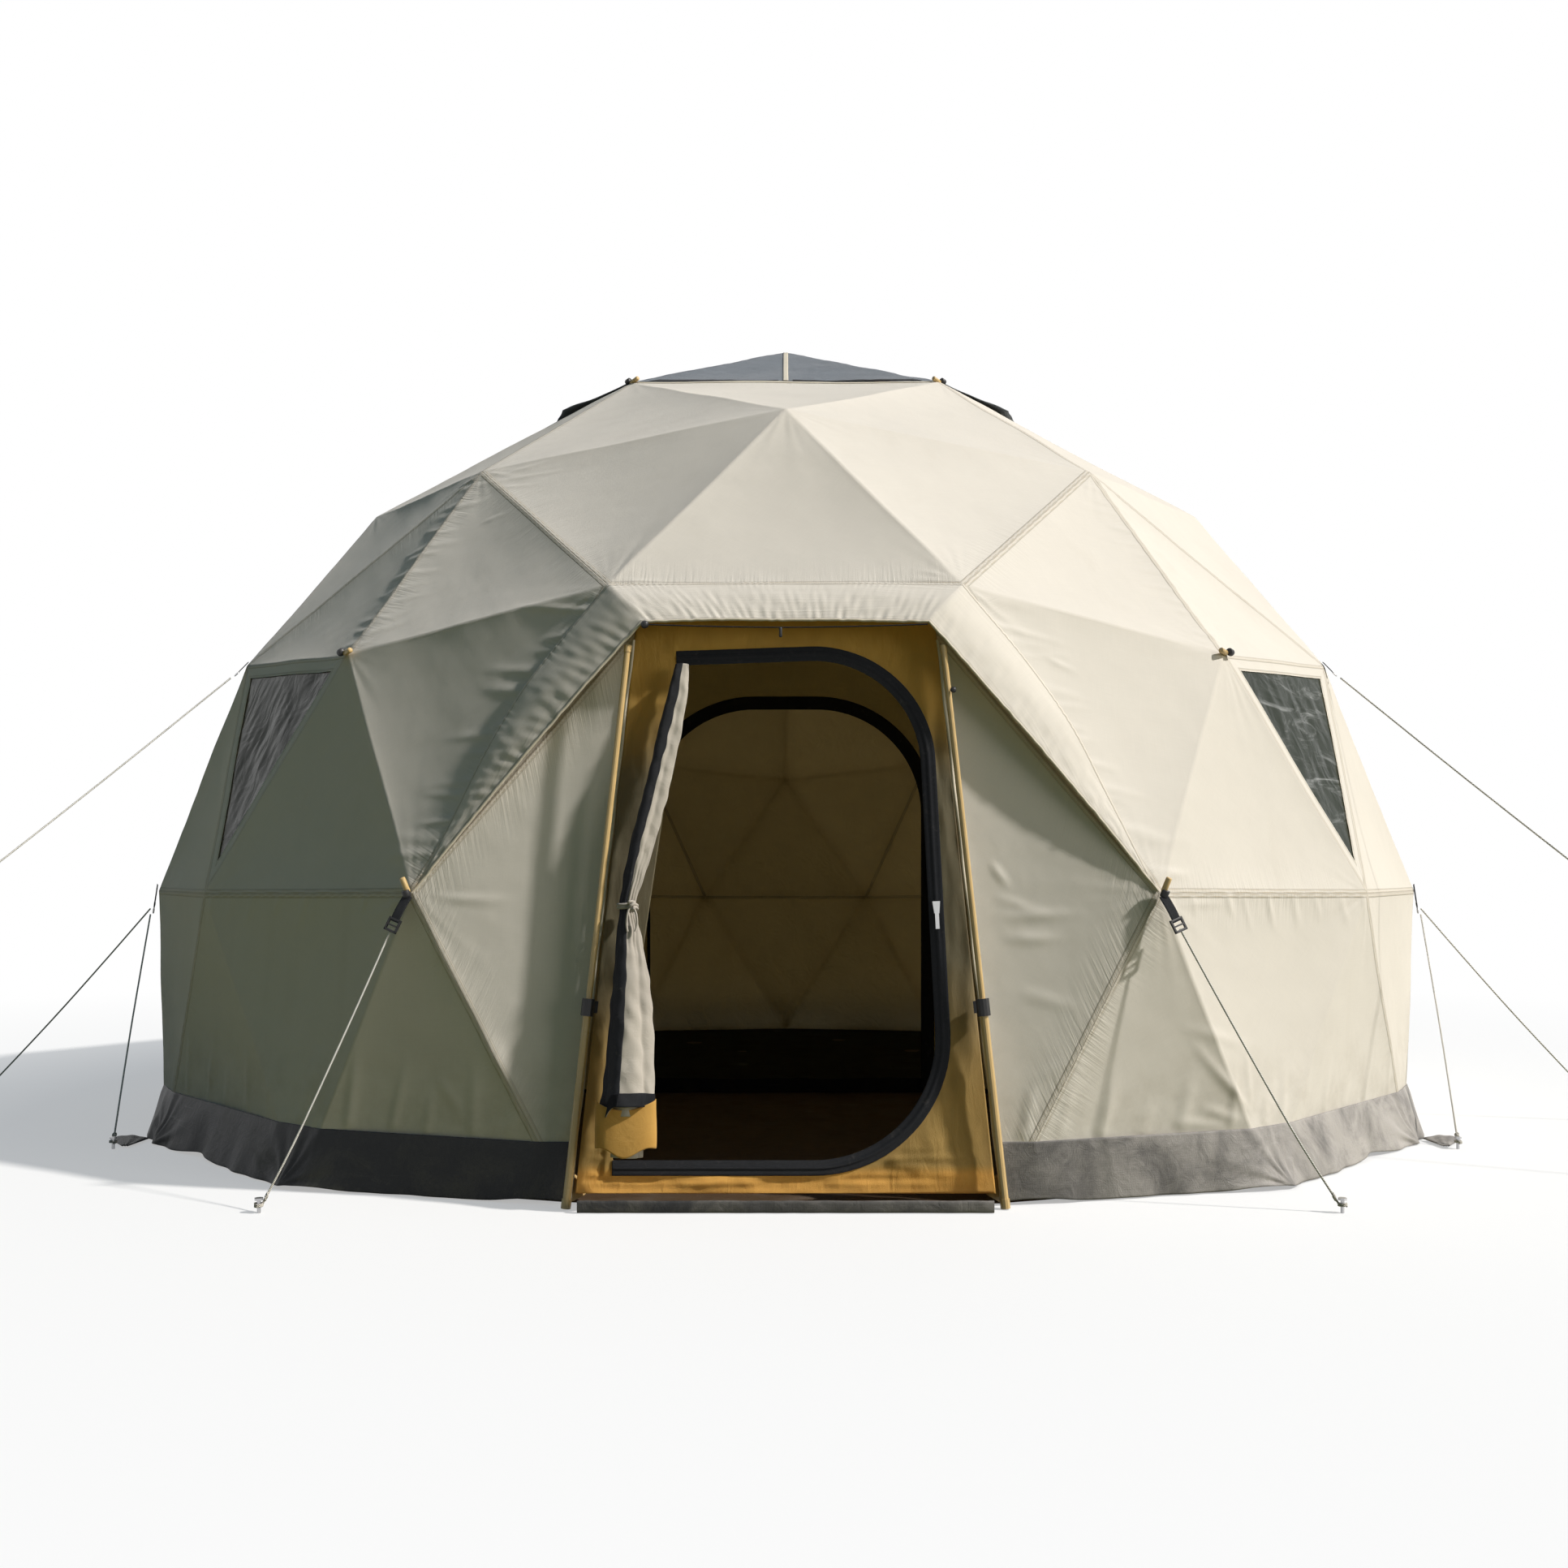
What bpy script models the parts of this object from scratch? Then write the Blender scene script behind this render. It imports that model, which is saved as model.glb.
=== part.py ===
"""Geodesic dome tent with a porch, at its real size, in metres with +Z up.

The origin is on the ground in the middle of the dome. The doorway faces -Y, and +X is to the right
of somebody who looks at it from outside. A place on the dome is named by its ring and by its gore,
counted round from the front: gore 0 is the doorway, and each gore covers 72 degrees. On every ring
below the collar, some hubs stand on a gore's middle line or beside it, and a post hub stands on the
line between this gore and the next.
"""

import math

import bmesh
import bpy
from mathutils import Matrix, Vector

# Dome rings, as the flysheet's corners lie
GORES = 5
GORE_ANGLE = 360.0 / GORES
CROWN_HEIGHT = 2.79
COLLAR_RADIUS = 0.862
COLLAR_HEIGHT = 2.41
ROOF_MID_RADIUS = 1.492
ROOF_MID_HEIGHT = 2.032
ROOF_POST_RADIUS = 1.505
ROOF_POST_HEIGHT = 1.951
EAVE_RADIUS = 1.935
EAVE_HEIGHT = 1.42
EAVE_SPREAD = 13.61
EAVE_POST_RADIUS = 1.962
EAVE_POST_HEIGHT = 1.352
WAIST_MID_RADIUS = 2.185
WAIST_MID_HEIGHT = 0.734
WAIST_RADIUS = 2.149
WAIST_HEIGHT = 0.722
WAIST_SPREAD = 24.18
GROUND_RADIUS = 2.165
GROUND_SPREAD = 14.0
GROUND_POST_RADIUS = 2.165
FRONT_ANCHOR_TURN = 2.2

# The doorway's own corners, which stand off the rings
HEADER_SPREAD = 12.8
HEADER_HEIGHT = 1.465
DOOR_CORNER_X = 0.50
DOOR_CORNER_Y = -2.02

# Fabric
CANVAS = 0.003
LINER = 0.002
SEAM_INSET = 0.0018
CLEARANCE = 0.0006

# Skirt and groundsheets
SKIRT_HEIGHT = 0.145
SKIRT_SPLAY = 0.052
SKIRT_SPLAY_AT_DOOR = 0.010
EAR_TIP = (1.876, -1.306)
EAR_WIDTH = 0.11
EAR_THICKNESS = 0.004
HEM_LENGTH = 0.94
HEM_HEIGHT = 0.028
HEM_DEPTH = 0.010
HEM_Y = -2.10
GROUNDSHEET_INSET = 0.012
ROOM_FLOOR_INSET = 0.075
ROOM_LIP_HEIGHT = 0.055

# Frame
FRAME_INSET = 0.031
STRUT_RADIUS = 0.008
STRUT_SIDES = 6
HUB_RADIUS = 0.030
HUB_THICKNESS = 0.020
HUB_SIDES = 6
STRUT_SOCKET = 0.018
LINER_INSET = 0.056

# Windows
WINDOW_BORDER = 0.045
WINDOW_THICKNESS = 0.0012

# Awning and porch walls
AWNING_HALF_WIDTH = 0.335
AWNING_Y = -1.98
AWNING_HEIGHT = 1.357
PORCH_WALL_TOP = (0.360, -1.915, 1.345)
PORCH_WALL_PEAK = (0.405, -1.903, 1.395)
PORCH_WALL_NOTCH = 0.04
PORCH_WALL_TOP_NOTCH = 0.16

# Door wall, a plane that leans back as it rises
DOOR_WALL_FOOT_Y = -2.0325
DOOR_WALL_LEAN = 4.78
DOOR_WALL_BOTTOM = 0.030
DOOR_WALL_TOP = 1.405
DOOR_WALL_HALF_BOTTOM = 0.484
DOOR_WALL_HALF_TOP = 0.352

# Doorway, by the middle line of its zip, as (x, height up the door wall)
ZIP_TOP_LEFT = (-0.240, 1.285)
ZIP_TOP_RIGHT = (0.325, 1.305)
ZIP_BOTTOM_RIGHT = (0.379, 0.088)
ZIP_BOTTOM_LEFT = (-0.400, 0.088)
ZIP_TOP_RADIUS = 0.27
ZIP_BOTTOM_RADIUS = 0.30
ZIP_WIDTH = 0.035
ZIP_THICKNESS = 0.003
ZIP_OVERRUN = 0.02
ARC_STEPS = 10
SLIDER_HEIGHT = 0.69
SLIDER_LENGTH = 0.028
SLIDER_WIDTH = 0.018
SLIDER_DEPTH = 0.008
PULL_LENGTH = 0.045
PULL_WIDTH = 0.009
PULL_THICKNESS = 0.0025

# Door flap, gathered and tied: (height, middle x, half width, half depth, fold depth)
FLAP_SECTIONS = (
    (1.262, -0.243, 0.014, 0.009, 0.05),
    (1.200, -0.252, 0.020, 0.012, 0.12),
    (1.100, -0.272, 0.024, 0.015, 0.20),
    (0.980, -0.298, 0.025, 0.017, 0.24),
    (0.860, -0.328, 0.026, 0.018, 0.24),
    (0.760, -0.352, 0.022, 0.017, 0.16),
    (0.700, -0.365, 0.0155, 0.0155, 0.04),
    (0.680, -0.366, 0.0155, 0.0155, 0.04),
    (0.620, -0.362, 0.026, 0.019, 0.18),
    (0.520, -0.357, 0.041, 0.024, 0.26),
    (0.400, -0.356, 0.051, 0.027, 0.28),
    (0.280, -0.357, 0.058, 0.029, 0.28),
    (0.170, -0.360, 0.065, 0.031, 0.26),
    (0.118, -0.362, 0.067, 0.032, 0.24),
)
FLAP_FOLDS = 7
FLAP_STEPS_PER_FOLD = 6
FLAP_TWIST = 1.4
FLAP_STAND_OFF = 0.018
TIE_HEIGHT = 0.690
TIE_CORD_RADIUS = 0.004
TIE_TURN_STEPS = 20
TIE_CORD_SIDES = 6

# Porch poles
POLE_FOOT = (0.502, -2.057)
POLE_TOP = (0.370, -1.968, 1.303)
POLE_LOWER_LENGTH = 0.48
POLE_LOWER_RADIUS = 0.0095
POLE_UPPER_RADIUS = 0.0072
POLE_WALL = 0.001
POLE_RUNNING_GAP = 0.0004
POLE_OVERLAP = 0.12
POLE_FOOT_RADIUS = 0.0115
POLE_FOOT_LENGTH = 0.022
POLE_END_LENGTH = 0.016
POLE_END_RADIUS = 0.0085
COLLAR_LENGTH = 0.040
COLLAR_WALL = 0.005
COLLAR_LEVER = 0.008
POLE_STEPS = 12

# Inner room
ROOM_WALL_Y = -0.300
ROOM_WALL_THICKNESS = 0.003
ROOM_CUT_DEPTH = 0.015
ROOM_CUT_BEHIND = 0.006
ROOM_WALL_BOTTOM = 0.022
ROOM_EDGE_GAP = 0.012
ROOM_DOOR_HALF_WIDTH = 0.490
ROOM_DOOR_TOP = 1.390
ROOM_DOOR_RADIUS = 0.378
ROOM_FLOOR_FRONT = -0.262
ROLL_RADIUS = 0.032
ROLL_BOTTOM = 0.20
ROLL_TOP = 1.06
ROLL_SIDES = 14

# Guy lines, straps and pegs, right side
LINE_DIAMETER = 0.005
LINE_POINTS = 14
PEG_RADIUS = 0.0045
PEG_HEIGHT = 0.034
PEG_HEAD_RADIUS = 0.010
PEG_HEAD_THICKNESS = 0.005
STRAP_WIDTH = 0.025
STRAP_LENGTH = 0.050
BUCKLE_WIDTH = 0.038
BUCKLE_LENGTH = 0.034
STRAP_THICKNESS = 0.005
FRONT_STRAP_START = (0.889, -1.981, 0.706)
FRONT_STRAP_END = (0.918, -1.9905, 0.642)
FRONT_PEG_SHIFT = 0.034
PEG_PLACES = {
    "front": (1.222, -2.093),
    "ear": (1.903, -1.322),
    "side": (2.628, -0.854),
    "high": (2.820, -2.104),
}
LINE_ROUTES = {
    "front": ((0.9195, -1.9910, 0.6385), (0.9925, -2.0152, 0.4770), (1.0675, -2.0402, 0.3150),
              (1.1425, -2.0652, 0.1570), (1.2160, -2.0895, 0.0180)),
    "ear": ((2.0940, -0.6970, 0.6550), (2.0500, -0.8505, 0.4905), (2.0050, -1.0040, 0.3300),
            (1.9570, -1.1585, 0.1725), (1.9065, -1.3140, 0.0200)),
    "side": ((2.1000, -0.6840, 0.6750), (2.2300, -0.7258, 0.5035), (2.3610, -0.7675, 0.3350),
             (2.4920, -0.8095, 0.1740), (2.6210, -0.8515, 0.0200)),
    "high": ((1.6880, -1.0385, 1.3790), (1.9695, -1.3035, 1.0215), (2.2510, -1.5685, 0.6742),
             (2.5325, -1.8334, 0.3400), (2.8140, -2.0984, 0.0200)),
}

SIDES = {"right": 1, "left": -1}


def start_scene():
    """Removes what the scene holds, and returns the tent's own collection."""
    for old in list(bpy.data.objects):
        bpy.data.objects.remove(old, do_unlink=True)
    tent = bpy.data.collections.new("geodesic_tent")
    bpy.context.scene.collection.children.link(tent)
    return tent


def start_cutters():
    cutters = bpy.data.collections.new("cutters")
    bpy.context.scene.collection.children.link(cutters)
    return cutters


def material(name, colour, roughness, metallic=0.0):
    made = bpy.data.materials.new(name)
    made.use_nodes = True
    shader = made.node_tree.nodes["Principled BSDF"]
    shader.inputs["Base Color"].default_value = (*colour, 1.0)
    shader.inputs["Roughness"].default_value = roughness
    shader.inputs["Metallic"].default_value = metallic
    return made


TENT = start_scene()
CUTTERS = start_cutters()

CREAM = material("cream canvas", (0.66, 0.60, 0.50), 0.85)
CHARCOAL = material("charcoal skirt fabric", (0.045, 0.05, 0.06), 0.75)
MUSTARD = material("mustard door fabric", (0.42, 0.25, 0.07), 0.8)
GREY = material("grey door flap fabric", (0.33, 0.30, 0.27), 0.85)
BLACK = material("black zip tape", (0.012, 0.013, 0.016), 0.6)
MESH = material("dark roof mesh", (0.05, 0.065, 0.08), 0.7)
WINDOW = material("dark window film", (0.05, 0.06, 0.06), 0.25)
LINING = material("sand lining", (0.22, 0.18, 0.10), 0.85)
BROWN = material("brown groundsheet", (0.10, 0.055, 0.03), 0.8)
TAN = material("tan pole", (0.55, 0.40, 0.18), 0.4, 0.3)
PLASTIC = material("black plastic", (0.02, 0.02, 0.02), 0.5)
ROPE = material("pale rope", (0.55, 0.53, 0.50), 0.8)
STEEL = material("grey steel", (0.45, 0.45, 0.46), 0.4, 1.0)
PULL = material("pale zip pull", (0.60, 0.60, 0.60), 0.4, 0.8)


def add(name, mesh, finish, collection=TENT):
    """A named object with one material, in the tent's collection unless another is given."""
    made = bpy.data.objects.new(name, mesh)
    collection.objects.link(made)
    if finish:
        mesh.materials.append(finish)
    return made


def mesh_of(name, shape):
    made = bpy.data.meshes.new(name)
    shape.to_mesh(made)
    shape.free()
    return made


# Dome corners

def on_ring(degrees, radius, height):
    """The point at this angle round from the front, positive to the right."""
    turn = math.radians(degrees)
    return Vector((radius * math.sin(turn), -radius * math.cos(turn), height))


def dome_corners():
    """Every corner of the flysheet, by (ring, gore) or (ring, gore, side of its middle line)."""
    corners = {("crown",): Vector((0.0, 0.0, CROWN_HEIGHT))}
    for gore in range(GORES):
        middle = gore * GORE_ANGLE
        post = middle + GORE_ANGLE / 2
        corners["collar", gore] = on_ring(post, COLLAR_RADIUS, COLLAR_HEIGHT)
        corners["roof_mid", gore] = on_ring(middle, ROOF_MID_RADIUS, ROOF_MID_HEIGHT)
        corners["roof_post", gore] = on_ring(post, ROOF_POST_RADIUS, ROOF_POST_HEIGHT)
        corners["eave_post", gore] = on_ring(post, EAVE_POST_RADIUS, EAVE_POST_HEIGHT)
        corners["waist_mid", gore] = on_ring(middle, WAIST_MID_RADIUS, WAIST_MID_HEIGHT)
        anchor_turn = {0: -FRONT_ANCHOR_TURN, GORES - 1: FRONT_ANCHOR_TURN}.get(gore, 0.0)
        corners["ground_post", gore] = on_ring(post + anchor_turn, GROUND_POST_RADIUS, 0.0)
        for side in (-1, 1):
            eave = middle + side * EAVE_SPREAD
            waist = middle + side * WAIST_SPREAD
            ground = middle + side * GROUND_SPREAD
            corners["eave", gore, side] = on_ring(eave, EAVE_RADIUS, EAVE_HEIGHT)
            corners["waist", gore, side] = on_ring(waist, WAIST_RADIUS, WAIST_HEIGHT)
            corners["ground", gore, side] = on_ring(ground, GROUND_RADIUS, 0.0)
    for side in (-1, 1):
        corners["eave", 0, side] = on_ring(side * HEADER_SPREAD, EAVE_RADIUS, HEADER_HEIGHT)
        corners["ground", 0, side] = Vector((side * DOOR_CORNER_X, DOOR_CORNER_Y, 0.0))
        for name, place in (("porch_top", PORCH_WALL_TOP), ("porch_peak", PORCH_WALL_PEAK)):
            corners[name, 0, side] = Vector((side * place[0], place[1], place[2]))
    return corners


CORNERS = dome_corners()


def fan(middle, ring, closed=True):
    """Triangles from one corner to each pair of neighbours on the ring round it."""
    last = len(ring) if closed else len(ring) - 1
    return [(middle, ring[i], ring[(i + 1) % len(ring)]) for i in range(last)]


def after(gore):
    return (gore + 1) % GORES


def before(gore):
    return (gore - 1) % GORES


def vent_triangles():
    return fan(("crown",), [("collar", gore) for gore in range(GORES)])


def roof_triangles(gore):
    ring = [("collar", before(gore)), ("collar", gore), ("roof_post", gore), ("eave", gore, 1),
            ("eave", gore, -1), ("roof_post", before(gore))]
    return fan(("roof_mid", gore), ring)


def shoulder_triangles(gore):
    ring = [("roof_post", gore), ("eave", after(gore), -1), ("waist", after(gore), -1),
            ("waist", gore, 1), ("eave", gore, 1)]
    return fan(("eave_post", gore), ring)


def side_wall_triangles(gore):
    ring = [("eave", gore, -1), ("eave", gore, 1), ("waist", gore, 1), ("ground", gore, 1),
            ("ground", gore, -1), ("waist", gore, -1)]
    return fan(("waist_mid", gore), ring)


def post_wall_triangles(gore):
    ring = [("ground", gore, 1), ("waist", gore, 1), ("waist", after(gore), -1),
            ("ground", after(gore), -1)]
    return fan(("ground_post", gore), ring, closed=False)


def porch_triangles(side):
    """The wall between the doorway and the dome's first edge, with the strip under the awning."""
    foot, waist = ("ground", 0, side), ("waist", 0, side)
    top, peak = ("porch_top", 0, side), ("porch_peak", 0, side)
    return [(foot, waist, top), (top, waist, peak)]


def window_triangle(side):
    """The shoulder facet that holds this side's window."""
    post, gore = (0, 1) if side > 0 else (GORES - 1, GORES - 1)
    return {("eave_post", post), ("eave", gore, -side), ("waist", gore, -side)}


def all_triangles():
    found = list(vent_triangles())
    for gore in range(GORES):
        found += roof_triangles(gore) + shoulder_triangles(gore)
        found += side_wall_triangles(gore) + post_wall_triangles(gore)
    return found


def faces_out(a, b, c):
    """Whether a triangle's corners run anticlockwise for somebody outside the dome."""
    middle = (a + b + c) / 3
    return (b - a).cross(c - a).dot(middle - Vector((0.0, 0.0, WAIST_HEIGHT))) > 0


def corner_normals():
    """The outward direction at each corner of the dome, level at the ground."""
    normals = {key: Vector() for keys in all_triangles() for key in keys}
    for keys in all_triangles():
        a, b, c = (CORNERS[key] for key in keys)
        across = (b - a).cross(c - a)
        if not faces_out(a, b, c):
            across.negate()
        for key in keys:
            normals[key] += across
    for key, normal in normals.items():
        if key[0].startswith("ground"):
            normal.z = 0.0
        normal.normalize()
    return normals


NORMALS = corner_normals()


def sunk(key, depth, ground_height=0.0):
    """A corner moved inwards by this depth."""
    point = CORNERS[key] - NORMALS[key] * depth
    if key[0].startswith("ground"):
        point.z = ground_height
    return point


# Fabric shells

def surface(triangles, points):
    """An open surface of outward triangles."""
    shape = bmesh.new()
    made = {}
    for keys in triangles:
        for key in keys:
            if key not in made:
                made[key] = shape.verts.new(points[key])
        a, b, c = keys
        if not faces_out(points[a], points[b], points[c]):
            b, c = c, b
        shape.faces.new((made[a], made[b], made[c]))
    return shape, made


def draw_in(shape, distance):
    """Moves the surface's outline inwards, within its own faces."""
    moves = {}
    for vert in shape.verts:
        pulls = []
        for edge in vert.link_edges:
            if not edge.is_boundary:
                continue
            face = edge.link_faces[0]
            along = (edge.verts[1].co - edge.verts[0].co).normalized()
            pull = face.normal.cross(along)
            if pull.dot(face.calc_center_median() - vert.co) < 0:
                pull.negate()
            pulls.append(pull)
        if len(pulls) == 2:
            moves[vert] = (pulls[0] + pulls[1]) * (distance / (1 + pulls[0].dot(pulls[1])))
    for vert, move in moves.items():
        vert.co += move


def thicken(obj, thickness):
    """Gives an open surface its thickness, on its inner side."""
    shell = obj.modifiers.new("Thickness", "SOLIDIFY")
    shell.thickness = thickness
    shell.offset = -1.0
    shell.use_even_offset = True
    return obj


def cut_level(shape, height, keep_above):
    """Cuts a surface at this height, and keeps one side of it."""
    bmesh.ops.bisect_plane(
        shape,
        geom=shape.verts[:] + shape.edges[:] + shape.faces[:],
        dist=1e-6,
        plane_co=(0.0, 0.0, height),
        plane_no=(0.0, 0.0, 1.0),
        clear_inner=keep_above,
        clear_outer=not keep_above,
    )


def inset_triangle(points, distance):
    """A triangle's corners moved inwards so that each side moves by this distance."""
    moved = []
    normal = (points[1] - points[0]).cross(points[2] - points[0]).normalized()
    for i, point in enumerate(points):
        pulls = []
        for other, opposite in ((points[i - 1], points[i - 2]), (points[i - 2], points[i - 1])):
            pull = normal.cross((other - point).normalized())
            if pull.dot(opposite - point) < 0:
                pull.negate()
            pulls.append(pull)
        moved.append(point + (pulls[0] + pulls[1]) * (distance / (1 + pulls[0].dot(pulls[1]))))
    return moved


def open_window(shape, made, keys):
    """Replaces one facet by a border round a three-cornered hole."""
    corners = [made[key] for key in keys]
    facet = next(face for face in shape.faces if set(face.verts) == set(corners))
    corners = list(facet.verts)
    inner = [shape.verts.new(point)
             for point in inset_triangle([vert.co.copy() for vert in corners], WINDOW_BORDER)]
    shape.faces.remove(facet)
    for i in range(3):
        j = (i + 1) % 3
        shape.faces.new((corners[i], corners[j], inner[j], inner[i]))


def fabric_panel(name, triangles, finish=CREAM, window_keys=None, cut_at_skirt=False):
    shape, made = surface(triangles, CORNERS)
    if cut_at_skirt:
        cut_level(shape, SKIRT_HEIGHT, keep_above=True)
    if window_keys:
        open_window(shape, made, window_keys)
    shape.normal_update()
    draw_in(shape, SEAM_INSET)
    return thicken(add(name, mesh_of(name, shape), finish), CANVAS)


def make_canopy():
    fabric_panel("roof_vent_cap", vent_triangles(), MESH)
    roof_names = ("front", "right", "rear_right", "rear_left", "left")
    for gore, place in enumerate(roof_names):
        fabric_panel("roof_panel_" + place, roof_triangles(gore))
    shoulder_names = ("front_right", "right", "rear", "left", "front_left")
    windows = {0: window_triangle(1), GORES - 1: window_triangle(-1)}
    for gore, place in enumerate(shoulder_names):
        fabric_panel("shoulder_panel_" + place, shoulder_triangles(gore), window_keys=windows.get(gore))
    walls = {
        "wall_front_right": post_wall_triangles(0),
        "wall_right": side_wall_triangles(1) + post_wall_triangles(1),
        "wall_rear": side_wall_triangles(2) + post_wall_triangles(2) + side_wall_triangles(3),
        "wall_left": post_wall_triangles(3) + side_wall_triangles(4),
        "wall_front_left": post_wall_triangles(4),
    }
    for name, triangles in walls.items():
        fabric_panel(name, triangles, cut_at_skirt=True)


def make_window(name, side):
    """A pane that fills the hole in the shoulder panel, halfway through its thickness."""
    corners = [CORNERS[key] for key in sorted(window_triangle(side))]
    if not faces_out(*corners):
        corners.reverse()
    shape = bmesh.new()
    pane = inset_triangle(corners, WINDOW_BORDER)
    face = shape.faces.new([shape.verts.new(point) for point in pane])
    face.normal_update()
    for vert in shape.verts:
        vert.co -= face.normal * (CANVAS - WINDOW_THICKNESS) / 2
    thicken(add(name, mesh_of(name, shape), WINDOW), WINDOW_THICKNESS)


def make_awning():
    """The header panel that runs out over the doorway, with a wing down to each waist hub."""
    points = {}
    for side in (-1, 1):
        points["header", side] = CORNERS["eave", 0, side]
        points["corner", side] = Vector((side * AWNING_HALF_WIDTH, AWNING_Y, AWNING_HEIGHT))
        points["wing", side] = CORNERS["waist", 0, side]
    triangles = [
        (("header", -1), ("corner", -1), ("corner", 1)),
        (("header", -1), ("corner", 1), ("header", 1)),
        (("header", -1), ("wing", -1), ("corner", -1)),
        (("header", 1), ("corner", 1), ("wing", 1)),
    ]
    shape, _ = surface(triangles, points)
    shape.normal_update()
    draw_in(shape, SEAM_INSET)
    thicken(add("awning", mesh_of("awning", shape), CREAM), CANVAS)


def make_porch_wall(name, side):
    """The porch's side wall, whose corner at the waist hub is cut off to clear the awning's wing."""
    foot, waist, top = (CORNERS[key] for key in porch_triangles(side)[0])
    peak = CORNERS["porch_peak", 0, side]
    outline = [foot, waist.lerp(foot, PORCH_WALL_NOTCH), waist.lerp(peak, PORCH_WALL_TOP_NOTCH),
               peak, top]
    shape, _ = surface([(0, 1, 4), (1, 2, 4), (2, 3, 4)], dict(enumerate(outline)))
    cut_level(shape, SKIRT_HEIGHT, keep_above=True)
    shape.normal_update()
    draw_in(shape, SEAM_INSET)
    thicken(add(name, mesh_of(name, shape), CREAM), CANVAS)


def make_liner():
    """The inner tent's skin, hung under the frame and open at the doorway, windows and vent."""
    left_out = [window_triangle(side) for side in (-1, 1)]
    triangles = []
    for gore in range(GORES):
        triangles += roof_triangles(gore) + shoulder_triangles(gore) + post_wall_triangles(gore)
        if gore:
            triangles += side_wall_triangles(gore)
    triangles = [keys for keys in triangles if set(keys) not in left_out]
    points = {key: sunk(key, LINER_INSET, ground_height=CANVAS + CLEARANCE + LINER) for key in NORMALS}
    shape, _ = surface(triangles, points)
    thicken(add("inner_liner", mesh_of("inner_liner", shape), LINING), LINER)


# Skirts and floors

def make_skirt(name, side):
    """The dark foot of the wall from the doorway round to the rear, splayed out to the ground, with
    an ear at the corner that is pegged."""
    half = porch_triangles(1)[:1] + post_wall_triangles(0) + side_wall_triangles(1)
    half += post_wall_triangles(1) + side_wall_triangles(2) + post_wall_triangles(2)[:1]
    if side < 0:
        half = [tuple(mirrored(key) for key in keys) for keys in half]
    at_ground = [keys for keys in half if any(key[0].startswith("ground") for key in keys)]
    shape, made = surface(at_ground, CORNERS)
    feet = {key: vert for key, vert in made.items() if key[0].startswith("ground")}
    cut_level(shape, SKIRT_HEIGHT - 2 * CLEARANCE, keep_above=False)
    for key, vert in feet.items():
        at_door = key == ("ground", 0, side)
        vert.co += NORMALS[key] * (SKIRT_SPLAY_AT_DOOR if at_door else SKIRT_SPLAY)
    for vert in shape.verts:
        if abs(vert.co.x) < 2 * SEAM_INSET and vert.co.y > 0:
            vert.co.x = side * SEAM_INSET
    shape.normal_update()
    bmesh.ops.solidify(shape, geom=shape.faces[:], thickness=CANVAS)
    for vert in shape.verts:
        if vert.co.z < CANVAS / 2:
            vert.co.z = 0.0
    skirt = add(name, mesh_of(name, shape), CHARCOAL)
    key = ear_corner(side)
    corner = CORNERS[key] + NORMALS[key] * (SKIRT_SPLAY - CANVAS)
    tip = Vector((side * EAR_TIP[0], EAR_TIP[1], 0.0))
    across = (tip - corner).cross(Vector((0.0, 0.0, 1.0))).normalized() * EAR_WIDTH / 2
    back = (tip - corner) * 0.1
    ear = solid_outline(name + "_ear", [corner - across + back, tip, corner + across + back],
                        EAR_THICKNESS, Matrix.Identity(4), None, CUTTERS)
    boolean(skirt, ear, "UNION")


def ear_corner(side):
    """The ground corner whose skirt is pegged out."""
    return ("ground", 1, -1) if side > 0 else ("ground", GORES - 1, 1)


def mirrored(key):
    """The corner on the other side of the doorway's middle line."""
    if key[0] in ("ground_post", "eave_post", "roof_post", "collar"):
        return (key[0], (GORES - 1 - key[1]) % GORES)
    if len(key) == 3:
        return (key[0], -key[1] % GORES, -key[2])
    return (key[0], -key[1] % GORES)


def ground_outline(inset, front_limit=None):
    """The floor's outline, drawn in from the dome's foot and cut off at a front limit."""
    ring = [("ground", 0, 1)]
    for gore in range(GORES):
        ring.append(("ground_post", gore))
        ring.append(("ground", after(gore), -1))
        ring.append(("ground", after(gore), 1))
    points = [sunk(key, inset).xy for key in ring[:-1]]
    if front_limit is None:
        return points
    kept = []
    for start, end in zip(points, points[1:] + points[:1]):
        if start.y >= front_limit:
            kept.append(start)
        if (start.y >= front_limit) != (end.y >= front_limit):
            kept.append(start.lerp(end, (front_limit - start.y) / (end.y - start.y)))
    return kept


def plate(name, outline, low, high, finish):
    """A level plate with this outline."""
    shape = bmesh.new()
    face = shape.faces.new([shape.verts.new((point[0], point[1], low)) for point in outline])
    lifted = bmesh.ops.extrude_face_region(shape, geom=[face])
    verts = [item for item in lifted["geom"] if isinstance(item, bmesh.types.BMVert)]
    bmesh.ops.translate(shape, verts=verts, vec=(0.0, 0.0, high - low))
    bmesh.ops.recalc_face_normals(shape, faces=shape.faces[:])
    return add(name, mesh_of(name, shape), finish)


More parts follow.
